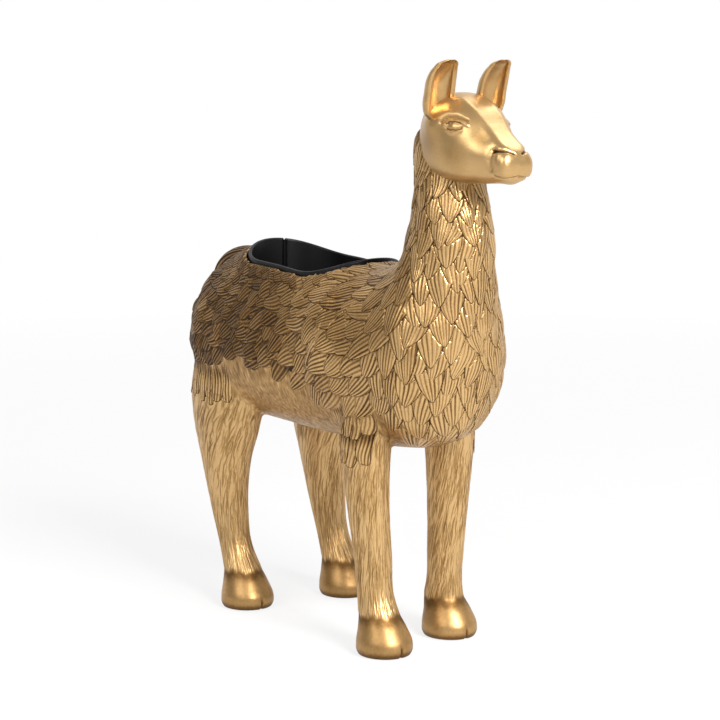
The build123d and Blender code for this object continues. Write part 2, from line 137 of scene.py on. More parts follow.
# Wool: lower edge along the flank, as X and Z
WOOL_EDGE_X = np.array([-130, -90, -62, -45, -25, 2, 18, 32, 72, 84, 120]) * MM
WOOL_EDGE_Z = np.array([148, 152, 161, 164, 159, 157, 150, 144, 147, 126, 120]) * MM
NECK_START_X = 62.0 * MM
WOOL_SPLIT_X = 30.0 * MM
NECK_START_Z = 236.0 * MM
BODY_AXIS_Z = 180.0 * MM
NECK_AXIS_X = 92.0 * MM
CAVITY_REAR_X = -90.0 * MM
CAVITY_FRONT_X = 60.0 * MM
NECK_BLEND_X = 30.0 * MM
NECK_BLEND_BELOW = 12.0 * MM
NECK_BLEND_ABOVE = 6.0 * MM

# Lie of the wool: slopes below level on the body, added low down and at the rear, and on the neck
FLOW_Z_BAND = (150.0 * MM, 225.0 * MM)
FLOW_X_BAND = (-110.0 * MM, -60.0 * MM)
BODY_SLOPE = 24
LOW_SLOPE = 18
REAR_SLOPE = 10
NECK_SLOPE = math.radians(86)
FLOW_SIDE_SHARE = 0.12

# Lock sizes along the body, then up the neck
LOCK_PLACE_X = np.array([-120, -60, 0, 50, 100]) * MM
LOCK_LENGTH = np.array([24, 28, 33, 40, 40]) * MM
LOCK_WIDTH = np.array([13, 14.5, 16, 18, 18]) * MM
NECK_PLACE_Z = np.array([200, 240, 270, 310]) * MM
NECK_LOCK_LENGTH = np.array([40, 38, 34, 30]) * MM
NECK_LOCK_WIDTH = np.array([18, 17, 15.5, 14]) * MM
SCALE_SIZE = 14.0 * MM
SCALE_REACH = 6.0 * MM
SCALE_TURN = 0.35
# Painted shade: the paint darker over the rump and flank, fully from the first X back and not at all ahead
# of the second, and on the neck's sides and back, scattered a little lock by lock; the dark strand lines
# widen where it is darker
FULL_SHADE_X = -40.0 * MM
SHADE_START_X = 74.0 * MM
SHADE_DARKNESS = 0.62
DARK_LINE_SPREAD = 0.16
SHADE_SCATTER = 0.08
NECK_SIDE_SHADE = 0.55
NECK_SHADE_SHARES = (-0.1, 0.8)
ORDER_X_SHARE = 0.62
ORDER_Z_SHARE = 0.78
ORDER_SCATTER = 0.5 * MM
LOWEST_LOCK = 8.0 * MM
HIGHEST_LOCK_Z = 304.0 * MM
WOOL_RIM_GAP = 1.5 * MM
LOCK_SPACING_SHARE = 0.42
LOCK_ROW_SHARE = 0.45
LOCK_PLACE_SHARES = np.array([0.0, 0.22, 0.45, 0.65, 0.81, 0.92, 0.98, 1.0])
LOCK_WIDTH_SHARES = np.array([0.60, 0.88, 1.0, 0.95, 0.76, 0.50, 0.24, 0.06])
LEAF_WIDTH_SHARES = np.array([0.50, 0.84, 1.0, 0.90, 0.64, 0.36, 0.14, 0.02])
SCALE_WIDTH_SHARES = np.array([0.80, 0.96, 1.0, 0.98, 0.84, 0.60, 0.36, 0.20])
LOCK_TURN = 0.12
LOCK_SICKLE = 0.5
LOCK_LENGTH_SPREAD = (0.92, 1.15)
LOCK_WIDTH_SPREAD = (0.92, 1.12)
LOCK_RANK_SPREAD = (0, 0.25)
LOCK_REACH_SHARE = 0.6
RANK_RISE_SHARE = 0.75
FACING_LEAST = 0.2

# Carving of the wool: heights above the skin from root to tip, then what is cut from them
ROOT_HEIGHT = -0.3 * MM
TIP_HEIGHT = 0.6 * MM
LOCK_DOME = 0.25 * MM
EDGE_DEPTH = 0.5 * MM
EDGE_WIDTH = 0.7 * MM
STRAND_PITCH = 2.4 * MM
STRAND_DEPTH = 0.42 * MM
STRAND_GROOVE_SHARE = 0.16
STRAND_SPREAD = 0.6
STRAND_WASH = 0.82
STRAND_FAINT_SHARE = 0.35
STRANDS_AT_MOST = 24
STRAND_BOW = 2.2
STRAND_WAVE = 0.24
STRAND_WAVES = 7
STRAND_PITCH_SPREAD = (0.8, 1.25)
BETWEEN_STRANDS = 0.5
# Each lock darker towards its root: painted shade under the tips of the locks above, with dark wash
# collecting there
ROOT_SHADE_AND_WASH = 0.42
ROOT_FADE_SHARES = (0.25, 0.65)
HIDDEN_DEPTH = 1.4 * MM
CARVED_ATTRIBUTES = ("strand", "edge", "ink", "wash_and_shade")
# Where there is no lock, in millimetres as the edge attribute is
FAR_FROM_EDGE = 1000.0
SKIN_SINK = 2.2 * MM
SINK_BAND = (2.0 * MM, 12.0 * MM)
RIM_SINK_BAND = (3.0 * MM, 8.0 * MM)
SKIN_WASH = 0.50
# Painted shade on the skin where it lies sunk under the wool, dark where it shows between the locks
SUNK_SHADE = 0.4
WOOL_BACK = 2.0 * MM

# Legs as on the drawing: hoof centre X and Y, place on the body X, at the joint's height
LEG_JOINT_HEIGHT = 102.0 * MM
LEG_RADIUS = 11.5 * MM
HOOF_LENGTH = 34.0 * MM
HOOF_WIDTH = 33.0 * MM
HOOF_HEIGHT = 25.0 * MM
HOOF_TOE = 6.0 * MM
SOLE_HEIGHT = 0.8 * MM
LEGS = {
    "front_left_leg": (57.6, 28.0, 56.1),
    "front_right_leg": (65.6, -28.0, 48.1),
    "rear_left_leg": (-56.4, 33.5, -79.4),
    "rear_right_leg": (-70.4, -33.5, -93.4),
}
FORE_LEG_SHARES = np.array([
    (0.30, 0.15, 0.95, 0.92),
    (0.55, 0.45, 0.98, 0.92),
    (0.80, 0.80, 1.10, 1.00),
    (1.00, 1.00, 1.26, 1.08),
    (1.28, 1.05, 1.45, 1.15),
    (1.45, 1.08, 1.38, 1.03),
])
HIND_LEG_SHARES = np.array([
    (0.32, 0.25, 0.94, 0.88),
    (0.62, 0.82, 1.13, 0.96),
    (0.90, 1.00, 1.64, 1.20),
    (1.12, 0.95, 2.40, 1.42),
    (1.38, 0.80, 2.80, 1.55),
    (1.50, 0.73, 2.70, 1.45),
])
HOOF_SHARES = np.array([
    (0.00, 0.00, 0.93, 0.93),
    (0.06, 0.00, 0.98, 0.98),
    (0.25, 0.00, 1.00, 1.00),
    (0.60, 0.35, 0.86, 0.86),
    (0.95, 0.95, 0.71, 0.69),
])
LEG_COLUMNS = 320
LEG_ROWS = 290
HAIR_WIDTH = 0.33 * MM
HAIR_DEPTH = 0.36 * MM
HAIR_LENGTH = 16.0 * MM
HAIR_SHARE = 0.78
HAIR_WASH = 0.72
HAIR_LEAN = 0.16
HAIR_BOW = 0.25
HAIR_LENGTH_SHARES = (0.35, 0.6)
HAIR_DEPTH_SHARES = (0.55, 1.0)
HOOF_WASH = 0.46
# Painted shade at the sole and in the cleft of each hoof
SOLE_AND_CLEFT_SHADE = 0.4
SOLE_SHADE = 5.0 * MM
HAIR_START = 24.0 * MM
HAIR_FADE = 2.0 * MM
HAIR_END_WAVE = 0.5 * MM
HAIR_END_WAVES = (5, 13)
# Dark band where the hair meets the hoof: dark wash with painted shade at the step
HAIRLINE_WASH_AND_SHADE = 0.28
HOOF_LINE_WIDTH = 4.0 * MM
CLEFT_WIDTH = 0.9 * MM
CLEFT_DEPTH = 1.2 * MM
CLEFT_TOP = 10.0 * MM
CLEFT_FADE = 6.0 * MM
LEG_COVER = 0.5 * MM
LEG_CLEARANCE = 2.0 * MM
TUCK_SHARE = 0.16
TUCK_START = 30.0 * MM

# Straight strips of hair over the legs: top and length, then how far they reach behind and
# ahead of the leg's place on the body
STRIP_WIDTH = 9.6 * MM
STRIP_REACH = 60.0 * MM
STRIP_STEP = 7.2
STRIP_SCATTER = 1.5
STRIP_LIFT = 0.25 * MM
STRIP_RANK = -4
# How much darker the strips are painted, carried in the field that holds the locks' painted shade
STRIP_DARKENING = 0.3
STRIP_ROWS = {
    "front": [(136.0, 25.0, -11, 15), (151.0, 22.0, -15, 17)],
    "rear": [(163.0, 30.0, -27, 26)],
}
STRIP_WIDTH_SHARES = np.array([0.85, 0.95, 1.0, 1.0, 0.96, 0.82, 0.55, 0.35])

# Head sections, nape to nose, as on the drawing: crown point and jaw point as shares of the
# head's length and height, then of half its width
HEAD_LENGTH = 76.0 * MM
HEAD_HEIGHT = 50.0 * MM
HEAD_WIDTH = 44.0 * MM
NAPE_X = 72.6 * MM
JAW_Z = 277.0 * MM
HEAD_SHARES = np.array([
    (0, -0.005, 0.520, -0.005, 0.440, 0.03),
    (1, 0.000, 0.630, 0.000, 0.330, 0.24),
    (2, 0.040, 0.810, 0.015, 0.155, 0.48),
    (3, 0.180, 0.960, 0.130, 0.040, 0.76),
    (4, 0.400, 1.000, 0.335, 0.000, 0.95),
    (5, 0.590, 0.865, 0.525, 0.000, 0.93),
    (6, 0.745, 0.660, 0.690, 0.010, 0.75),
    (7, 0.860, 0.510, 0.820, 0.020, 0.60),
    (8, 0.945, 0.420, 0.920, 0.040, 0.54),
    (9, 0.985, 0.350, 0.985, 0.090, 0.42),
    (10, 1.005, 0.240, 1.005, 0.220, 0.03),
])
HEAD_MIDDLE_SHARE = 0.40
HEAD_SQUARENESS = 2.7
HEAD_LEAST_SHARE = 0.01
HEAD_WASH = 0.16
STROKE_STEPS = 6
# Strokes on the near and far side of the face: radius, height, darkening (painted shade in the creases,
# the nostril slit, under the jaw and over the cheeks, with some dark wash in the sunk lines), then the
# path
HEAD_STROKES = [
    (12.0, 0.6, 0.0, (108, 20, 292)),
    (9.0, 3.2, 0.0, (97, 20, 311)),
    (7.0, -1.4, 0.5, (130, 13, 303)),
    (6.0, -0.9, 0.2, (115.5, 20, 309.5)),
    (3.2, 0.7, 0.0, (105, 20, 312.5), (109, 19, 315.8), (116, 16.8, 317)),
    (3.4, 1.6, 0.0, (115, 19.8, 309.2)),
    (0.8, 1.0, 0.0, (109, 20.5, 309.2), (112, 20.5, 312), (116, 19.6, 312.8), (119.5, 17, 311.6),
     (122, 15, 309.6)),
    (0.8, 0.8, 0.0, (110.5, 20.5, 307.2), (113, 20.3, 305.8), (116, 19.4, 305.4), (119.5, 17.2, 306.8)),
    (0.55, -0.7, 0.85, (110.5, 20.5, 310.3), (113, 20.3, 311.2), (116, 19.6, 311.4), (119, 17.4, 310.6)),
    (0.55, -0.6, 0.75, (110.8, 20.5, 308.2), (113.5, 20.2, 307.2), (116.5, 19.2, 307), (119.5, 17, 308.2)),
    (0.7, -0.7, 0.6, (106, 20.3, 311), (110, 20, 314.2), (116, 18.8, 315), (121.5, 14.8, 312.8)),
    (3.2, 0.7, 0.0, (109, 8.5, 323), (122, 8, 314.5), (133, 7, 305), (141, 6.5, 298.5)),
    (1.0, -1.1, 1.0, (139, 10.2, 296), (142.5, 8, 295.2), (147, 3.2, 294.6)),
    (5.5, 0.7, 0.1, (144, 6.5, 289)),
    (2.2, -0.9, 0.30, (139, 11, 296.5), (138.4, 12.2, 291.5), (139.6, 12, 286.5)),
    (0.8, -0.8, 0.45, (150, 0, 281.6), (147, 6, 281.6), (141, 11.5, 282.6)),
    (4.5, 0.6, 0.2, (142, 0, 280.5)),
    (4.0, 0.0, 0.45, (84, 12, 279.5), (105, 14, 277.5), (124, 11, 277.5)),
    (14.0, 0.0, 0.45, (92, 19, 300)),
    (13.0, 0.0, 0.45, (118, 19, 292)),
]
# Ears: height, place X and Y of the middle, half width and depth of the cup
EAR_SECTIONS = np.array([
    (308.0, 97.5, 12.5, 2.5, 2.5),
    (312.0, 99.3, 14.6, 4.6, 4.0),
    (316.0, 100.8, 17.6, 7.3, 5.6),
    (321.0, 101.9, 18.8, 8.3, 6.4),
    (328.0, 103.4, 19.0, 8.3, 6.4),
    (335.0, 105.3, 19.3, 8.0, 5.8),
    (341.0, 108.6, 19.4, 6.4, 3.8),
    (344.0, 111.4, 19.4, 4.4, 2.2),
    (345.2, 113.2, 19.4, 1.6, 0.8),
]) * MM
EAR_WALL = 2.6 * MM
EAR_SKEW = 1.5 * MM
EAR_TURN = math.radians(3)
EAR_OPEN = math.radians(97)
EAR_ROWS = 90
EAR_STEPS = 40
LIP_STEPS = 6
HEAD_ROWS = 260
HEAD_COLUMNS = 330


def select_only(*objects):
    """Leaves these objects selected and the first one active."""
    bpy.ops.object.select_all(action="DESELECT")
    for thing in objects:
        thing.select_set(True)
    bpy.context.view_layer.objects.active = objects[0]


def apply_modifiers(piece):
    select_only(piece)
    for modifier in list(piece.modifiers):
        bpy.ops.object.modifier_apply(modifier=modifier.name)


def mesh_piece(name, points, faces):
    """New object from points and faces, shaded smooth."""
    mesh = bpy.data.meshes.new(name)
    mesh.from_pydata([tuple(point) for point in points], [], [tuple(face) for face in faces])
    mesh.validate()
    piece = bpy.data.objects.new(name, mesh)
    bpy.context.scene.collection.objects.link(piece)
    mesh.shade_smooth()
    return piece


def edit_mesh(piece, operator, **options):
    """Runs one mesh operator on the whole of a piece."""
    select_only(piece)
    bpy.ops.object.mode_set(mode="EDIT")
    bpy.ops.mesh.select_all(action="SELECT")
    operator(**options)
    bpy.ops.object.mode_set(mode="OBJECT")


def casting_copy(node_name, piece_name, voxel):
    """Copy of a drawn casting as an even mesh."""
    piece = bpy.data.objects.new(piece_name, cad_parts[node_name].data.copy())
    bpy.context.scene.collection.objects.link(piece)
    piece.data.materials.clear()
    edit_mesh(piece, bpy.ops.mesh.remove_doubles, threshold=voxel / 50)
    remesh = piece.modifiers.new("Remesh", "REMESH")
    remesh.mode = "VOXEL"
    remesh.voxel_size = voxel
    apply_modifiers(piece)
    piece.data.shade_smooth()
    return piece


def soften(piece, rounds, weights):
    """Rounds a piece's edges as a mould does, more where the weights are higher."""
    group = piece.vertex_groups.new(name="soft")
    for index, weight in enumerate(weights):
        group.add([index], float(weight), "REPLACE")
    smooth = piece.modifiers.new("Smooth", "SMOOTH")
    smooth.factor = 0.5
    smooth.iterations = rounds
    smooth.vertex_group = "soft"
    apply_modifiers(piece)
    piece.vertex_groups.clear()


def mesh_arrays(piece):
    """Points and normals of a piece as arrays."""
    count = len(piece.data.vertices)
    points = np.empty(count * 3)
    normals = np.empty(count * 3)
    piece.data.vertices.foreach_get("co", points)
    piece.data.vertices.foreach_get("normal", normals)
    return points.reshape(-1, 3), normals.reshape(-1, 3)


def move_points(piece, points):
    piece.data.vertices.foreach_set("co", points.ravel())
    piece.data.update()


def paint(piece, name, values):
    """Stores one number per point for the materials to read."""
    attribute = piece.data.attributes.new(name, "FLOAT", "POINT")
    attribute.data.foreach_set("value", np.asarray(values, dtype=np.float32))


def smooth_step(low, high, value):
    share = np.clip((value - low) / (high - low), 0, 1)
    return share * share * (3 - 2 * share)


def unit(vectors):
    return vectors / np.maximum(np.linalg.norm(vectors, axis=-1, keepdims=True), 1e-9)


def smooth_rows(rows, places):
    """Smooth curve through rows of numbers, the first number of each being its place."""
    slopes = np.gradient(rows[:, 1:], rows[:, 0], axis=0)
    index = np.clip(np.searchsorted(rows[:, 0], places) - 1, 0, len(rows) - 2)
    gap = (rows[index + 1, 0] - rows[index, 0])[:, None]
    share = (np.clip(places, rows[0, 0], rows[-1, 0])[:, None] - rows[index, 0:1]) / gap
    start, end = rows[index, 1:], rows[index + 1, 1:]
    square, cube = share ** 2, share ** 3
    from_start = start * (2 * cube - 3 * square + 1) + slopes[index] * gap * (cube - 2 * square + share)
    return from_start + end * (3 * square - 2 * cube) + slopes[index + 1] * gap * (cube - square)


def tube_faces(rows, columns, joined=False):
    """Faces of a tube of rings, joined end to end or with a cap at each end."""
    faces = []
    for row in range(rows if joined else rows - 1):
        low, high = row * columns, (row + 1) % rows * columns
        for column in range(columns):
            after = (column + 1) % columns
            faces.append((low + column, low + after, high + after, high + column))
    if not joined:
        faces.append(tuple(reversed(range(columns))))
        faces.append(tuple(range((rows - 1) * columns, rows * columns)))
    return faces


def tube_piece(name, points, rows, columns, joined=False):
    """New object from rings of points, facing outwards."""
    piece = mesh_piece(name, points, tube_faces(rows, columns, joined))
    edit_mesh(piece, bpy.ops.mesh.normals_make_consistent, inside=False)
    return piece


def rolled_mean(values, reach):
    """Each value's mean with those up to some steps away round a loop."""
    return np.mean([np.roll(values, step) for step in range(-reach, reach + 1)], axis=0)


def finish_piece(piece, body, slot_name, material, *nodes):
    """Gives a piece its body and its finish, and hides the drawn nodes that it stands for."""
    piece.data.materials.clear()
    piece.data.materials.append(material)
    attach(piece, body)
    if nodes:
        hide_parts(*nodes)


# Materials


def new_material(name):
    material = bpy.data.materials.new(name)
    material.use_nodes = True
    nodes = material.node_tree.nodes
    return material, nodes, material.node_tree.links, nodes["Principled BSDF"]


def noise_node(nodes, links, scale, stretch, detail):
    """Noise on the piece's own coordinates, stretched along each axis."""
    place = nodes.new("ShaderNodeTexCoord")
    mapping = nodes.new("ShaderNodeMapping")
    mapping.inputs["Scale"].default_value = stretch
    noise = nodes.new("ShaderNodeTexNoise")
    noise.inputs["Scale"].default_value = scale
    noise.inputs["Detail"].default_value = detail
    links.new(place.outputs["Object"], mapping.inputs["Vector"])
    links.new(mapping.outputs["Vector"], noise.inputs["Vector"])
    return noise.outputs["Fac"]


def painted(nodes, name):
    """The number that a piece's points store under a name."""
    node = nodes.new("ShaderNodeAttribute")
    node.attribute_name = name
    return node.outputs["Fac"]


def math_node(nodes, links, operation, *terms):
    """Operation on sockets and plain numbers."""
    node = nodes.new("ShaderNodeMath")
    node.operation = operation
    for socket, term in zip(node.inputs, terms):
        if isinstance(term, float):
            socket.default_value = term
        else:
            links.new(term, socket)
    return node.outputs[0]


def range_node(nodes, links, source, low, high, start=0.0, end=1.0, clamp=True):
    """A number between start and end, turned into one between low and high."""
    node = nodes.new("ShaderNodeMapRange")
    node.clamp = clamp
    for name, value in (("From Min", start), ("From Max", end), ("To Min", low), ("To Max", high)):
        node.inputs[name].default_value = value
    links.new(source, node.inputs["Value"])
    return node.outputs["Result"]


def ramp_node(nodes, links, source, stops):
    """Colour ramp over a number, from (place, colour) stops."""
    ramp = nodes.new("ShaderNodeValToRGB")
    while len(ramp.color_ramp.elements) < len(stops):
        ramp.color_ramp.elements.new(0.5)
    for element, (place, colour) in zip(ramp.color_ramp.elements, stops):
        element.position = place
        element.color = (*colour, 1.0)
    links.new(source, ramp.inputs["Fac"])
    return ramp.outputs["Color"]


def bump_node(nodes, links, shader, height, strength):
    bump = nodes.new("ShaderNodeBump")
    bump.inputs["Strength"].default_value = strength
    bump.inputs["Distance"].default_value = GRAIN_DEPTH
    links.new(height, bump.inputs["Height"])
    links.new(bump.outputs["Normal"], shader.inputs["Normal"])


def carved_lines(nodes, links):
    """Dark lines of a carved piece: dark wash in the strand grooves, and dark wash with painted shade
    round the locks' edges.
    """
    strand, edge, ink, wash_and_shade = (painted(nodes, name) for name in CARVED_ATTRIBUTES)
    from_groove = math_node(nodes, links, "PINGPONG", strand, BETWEEN_STRANDS)
    # Groove lines widen where the dark wash and painted shade are darker
    widened = math_node(nodes, links, "MULTIPLY_ADD", wash_and_shade, -DARK_LINE_SPREAD, from_groove)
    groove_line = range_node(nodes, links, widened, 1.0, 0.0, 0.0, STRAND_LINE_SHARE)
    inked = math_node(nodes, links, "MULTIPLY", groove_line, ink)
    edge_line = range_node(nodes, links, edge, 1.0, 0.0, EDGE_LINE_FULL, EDGE_LINE_END)
    return math_node(nodes, links, "MAXIMUM", inked, edge_line)


def gold_material(name, tones, roughness, speck_scale, stretch, unevenness, carved=False):
    """Gold paint that runs from bright to dark as the piece's stored dark wash and painted shade say."""
    material, nodes, links, shader = new_material(name)
    patches = noise_node(nodes, links, PATCH_SCALE, EVEN_GRAIN, 4.0)
    specks = noise_node(nodes, links, speck_scale, stretch, 3.0)
    level = math_node(nodes, links, "POWER", painted(nodes, "wash_and_shade"), WASH_POWER)
    if carved:
        level = math_node(nodes, links, "ADD", level, carved_lines(nodes, links))
    for noise, strength in ((patches, PATCH_STRENGTH), (specks, unevenness)):
        shift = range_node(nodes, links, noise, -strength, strength, clamp=False)
        level = math_node(nodes, links, "ADD", level, shift)
    links.new(ramp_node(nodes, links, level, tones), shader.inputs["Base Color"])
    rough = range_node(nodes, links, level, roughness, WASH_ROUGHNESS)
    links.new(rough, shader.inputs["Roughness"])
    shader.inputs["Metallic"].default_value = GOLD_METALLIC
    bump_node(nodes, links, shader, specks, 0.25)
    return material


def liner_material():
    """Satin black with a faint unevenness in its sheen."""
    material, nodes, links, shader = new_material("liner_black")
    cloud = noise_node(nodes, links, 45.0, LINER_GRAIN, 3.0)
    links.new(ramp_node(nodes, links, cloud, LINER_TONES), shader.inputs["Base Color"])
    links.new(range_node(nodes, links, cloud, 0.36, 0.46), shader.inputs["Roughness"])
    shader.inputs["Specular IOR Level"].default_value = 0.22
    return material


def felt_material():
    """Dark felt for the soles."""
    material, nodes, links, shader = new_material("felt")
    fluff = noise_node(nodes, links, 900.0, EVEN_GRAIN, 6.0)
    links.new(ramp_node(nodes, links, fluff, FELT_TONES), shader.inputs["Base Color"])
    shader.inputs["Roughness"].default_value = 0.95
    bump_node(nodes, links, shader, fluff, 0.4)
    return material


antique = gold_material("antique_gold", GOLD_TONES, 0.36, 600.0, EVEN_GRAIN, 0.10, True)
haired = gold_material("antique_gold_hair", GOLD_TONES, 0.38, 480.0, HAIR_GRAIN, 0.50)
carved_gold = gold_material("antique_gold_carved", GOLD_TONES, 0.30, 900.0, EVEN_GRAIN, 0.20, True)
brushed = gold_material("brushed_gold", HEAD_TONES, 0.30, 900.0, EVEN_GRAIN, 0.06)
black = liner_material()
felt = felt_material()


# Torso skin

liner_x = (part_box("liner_floor")[0].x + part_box("liner_floor")[1].x) / 2


def beyond_straight(points):
    """How far along X a point lies past the straight sides of the liner's plan."""
    along = points[:, 0] - liner_x
    return np.sign(along) * np.maximum(np.abs(along) - (LINER_LENGTH - LINER_WIDTH) / 2, 0)


def plan_distance(points):
    """Distance outside the liner's plan, negative inside it."""
    return np.hypot(beyond_straight(points), points[:, 1]) - LINER_WIDTH / 2


def plan_outward(points):
    """Level direction away from the liner's plan."""
    return unit(np.stack([beyond_straight(points), points[:, 1], np.zeros(len(points))], axis=1))


def by_rim(points):
    """How far a point belongs to the scales next to the opening, from 0 to 1."""
    near = 1 - smooth_step(SCALE_REACH * 0.4, SCALE_REACH * 1.6, plan_distance(points) - LINER_GAP)
    return near * (points[:, 2] > BODY_AXIS_Z)


def plan_point(distance, straight, half):
    """Point and outward direction at a distance along the liner's plan."""
    bend = math.pi * half
    rear, front = liner_x - straight / 2, liner_x + straight / 2
    if distance < straight:
        return Vector((rear + distance, -half, 0)), Vector((0, -1, 0))
    distance -= straight
    if distance < bend:
        turn = distance / half - math.pi / 2
        outward = Vector((math.cos(turn), math.sin(turn), 0))
        return Vector((front, 0, 0)) + outward * half, outward
    distance -= bend
    if distance < straight:
        return Vector((front - distance, half, 0)), Vector((0, 1, 0))
    turn = (distance - straight) / half + math.pi / 2
    outward = Vector((math.cos(turn), math.sin(turn), 0))
    return Vector((rear, 0, 0)) + outward * half, outward


def liner_plan():
    """Points and outward directions round the liner's plan."""
    straight, half = LINER_LENGTH - LINER_WIDTH, LINER_WIDTH / 2
    perimeter = 2 * straight + 2 * math.pi * half
    return [plan_point(step / RING_STEPS * perimeter, straight, half) for step in range(RING_STEPS)]


def drawn_top(surface, spot):
    """Height of the drawn liner's rim over a spot of its plan."""
    above = Vector((spot.x, spot.y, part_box("liner_wall")[1].z + LINER_WIDTH))
    return surface.ray_cast(above, Vector((0, 0, -1)))[0].z


def liner_tops():
    """Heights of the liner's rim round its plan, without the corner of the drawn cut."""
    surface = BVHTree.FromObject(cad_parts["liner_wall"], bpy.context.evaluated_depsgraph_get())
    tops = [drawn_top(surface, spot - outward * LINER_WALL / 2) for spot, outward in liner_plan()]
    return rolled_mean(rolled_mean(tops, RIM_EASE), RIM_EASE)


def liner_rim():
    """Places in plan and heights of the liner's rim, a few degrees apart."""
    spots = np.array([spot[:2] for spot, outward in liner_plan()])
    return spots[::RIM_STRIDE], liner_tops()[::RIM_STRIDE]


skin = casting_copy("torso_shell", "torso_skin", SKIN_VOXEL)
rough_points = mesh_arrays(skin)[0]
from_rim = smooth_step(LINER_GAP + SKIN_VOXEL, LINER_GAP + RIM_BAND, plan_distance(rough_points))
soften(skin, SKIN_SMOOTHING, from_rim)
soften(skin, RIM_SMOOTHING, np.ones(len(from_rim)))
skin_points, skin_normals = mesh_arrays(skin)
rim_spots, rim_tops = liner_rim()
from_liner = plan_distance(skin_points)
by_opening = np.flatnonzero((from_liner < LINER_GAP + RIM_LIFT_BAND) & (skin_points[:, 2] > RIM_FOOT_Z))
gaps = np.linalg.norm(skin_points[by_opening, None, :2] - rim_spots[None, :, :], axis=2)
nearest = gaps.argmin(axis=1)
gold_tops = np.full(len(rim_tops), RIM_FOOT_Z)
lip = from_liner[by_opening] < LINER_GAP + RIM_BAND / 2
np.maximum.at(gold_tops, nearest[lip], skin_points[by_opening[lip], 2])
lifts = np.clip(rim_tops - RIM_SHOW - gold_tops, 0, RIM_LIFT_MOST)
lifts = rolled_mean(lifts, RIM_BLEND)[nearest]
at_rim = 1 - smooth_step(LINER_GAP, LINER_GAP + RIM_LIFT_BAND, from_liner[by_opening])
above_foot = smooth_step(0, RIM_BAND, skin_points[by_opening, 2] - RIM_FOOT_Z)
skin_points[by_opening, 2] += lifts * at_rim * above_foot
move_points(skin, skin_points)


def on_neck(points):
    """How far a point belongs to the neck and chest, from 0 to 1."""
    ahead = smooth_step(NECK_START_X, NECK_START_X + NECK_BLEND_X, points[:, 0])
    above = smooth_step(NECK_START_Z - NECK_BLEND_BELOW, NECK_START_Z + NECK_BLEND_ABOVE, points[:, 2])
    return np.maximum(ahead, above)


def outer_side(points, normals):
    """True on the outside of the shell and false in its cavity."""
    high = points[:, 2] > NECK_START_Z
    axis_x = np.where(high, NECK_AXIS_X, np.clip(points[:, 0], CAVITY_REAR_X, CAVITY_FRONT_X))
    axis_z = np.where(high, points[:, 2], BODY_AXIS_Z)
    out = points - np.stack([axis_x, np.zeros(len(points)), axis_z], axis=1)
    return (out * normals).sum(axis=1) > 0


def wool_depth(points):
    """Height above the wool's lower edge, negative below it."""
    return points[:, 2] - np.interp(points[:, 0], WOOL_EDGE_X, WOOL_EDGE_Z)


def wool_flow(points, normals):
    """Direction in which the wool lies: down the neck, down and back on the body."""
    low = 1 - smooth_step(*FLOW_Z_BAND, points[:, 2])
    rear = 1 - smooth_step(*FLOW_X_BAND, points[:, 0])
    slope = np.radians(BODY_SLOPE + LOW_SLOPE * low + REAR_SLOPE * rear)
    neck = on_neck(points)
    slope = slope * (1 - neck) + NECK_SLOPE * neck
    side = np.sign(points[:, 1]) * FLOW_SIDE_SHARE * (1 - neck)
    flow = np.stack([-np.cos(slope), side, -np.sin(slope)], axis=1)
    rim = SCALE_TURN * by_rim(points)[:, None]
    flow = flow * (1 - rim) + plan_outward(points) * rim
    flow -= normals * (flow * normals).sum(axis=1, keepdims=True)
    return unit(flow)


def lock_sizes(points):
    """Length and width of a lock at each point, and how far it is a scale by the opening."""
    neck, rim = on_neck(points), by_rim(points)
    sizes = []
    for body_sizes, neck_sizes in ((LOCK_LENGTH, NECK_LOCK_LENGTH), (LOCK_WIDTH, NECK_LOCK_WIDTH)):
        size = np.interp(points[:, 0], LOCK_PLACE_X, body_sizes) * (1 - neck)
        size = size + neck * np.interp(points[:, 2], NECK_PLACE_Z, neck_sizes)
        sizes.append(size * (1 - rim) + SCALE_SIZE * rim)
    return *sizes, rim


def place_locks(points, normals):
    """Chooses where the locks' middles lie, close enough for them to cover the skin."""
    flow = wool_flow(points, normals)
    across = np.cross(normals, flow)
    length, width, rim = lock_sizes(points)
    ahead = ORDER_X_SHARE * points[:, 0] + ORDER_Z_SHARE * points[:, 2]
    order = np.argsort(-ahead + rng.normal(0, ORDER_SCATTER, len(points)))
    chosen = []
    for index in order:
        if chosen:
            gap = points[index] - points[chosen]
            along = (gap * flow[chosen]).sum(axis=1) / (length[chosen] * LOCK_SPACING_SHARE)
            sideways = (gap * across[chosen]).sum(axis=1) / (width[chosen] * LOCK_ROW_SHARE)
            deep = (gap * normals[chosen]).sum(axis=1) / width[chosen]
            if (along ** 2 + sideways ** 2 + deep ** 2 < 1).any():
                continue
        chosen.append(index)
    neck = on_neck(points)[:, None]
    outlines = LOCK_WIDTH_SHARES * (1 - neck) + LEAF_WIDTH_SHARES * neck
    outlines = outlines + (SCALE_WIDTH_SHARES - outlines) * rim[:, None]
    return [Lock(points[i], normals[i], flow[i], length[i], width[i], outlines[i], 0.0, 0.0,
                 shade_at(points[i], normals[i])) for i in chosen]


def shade_at(point, normal):
    """Painted shade: how much darker the paint is, most on the rump and flank, some on the neck's sides
    and back.
    """
    body = 1 - smooth_step(FULL_SHADE_X, SHADE_START_X, point[0])
    neck_side = NECK_SIDE_SHADE * (1 - smooth_step(*NECK_SHADE_SHARES, normal[0]))
    return max(body, neck_side) + rng.normal(0, SHADE_SCATTER)


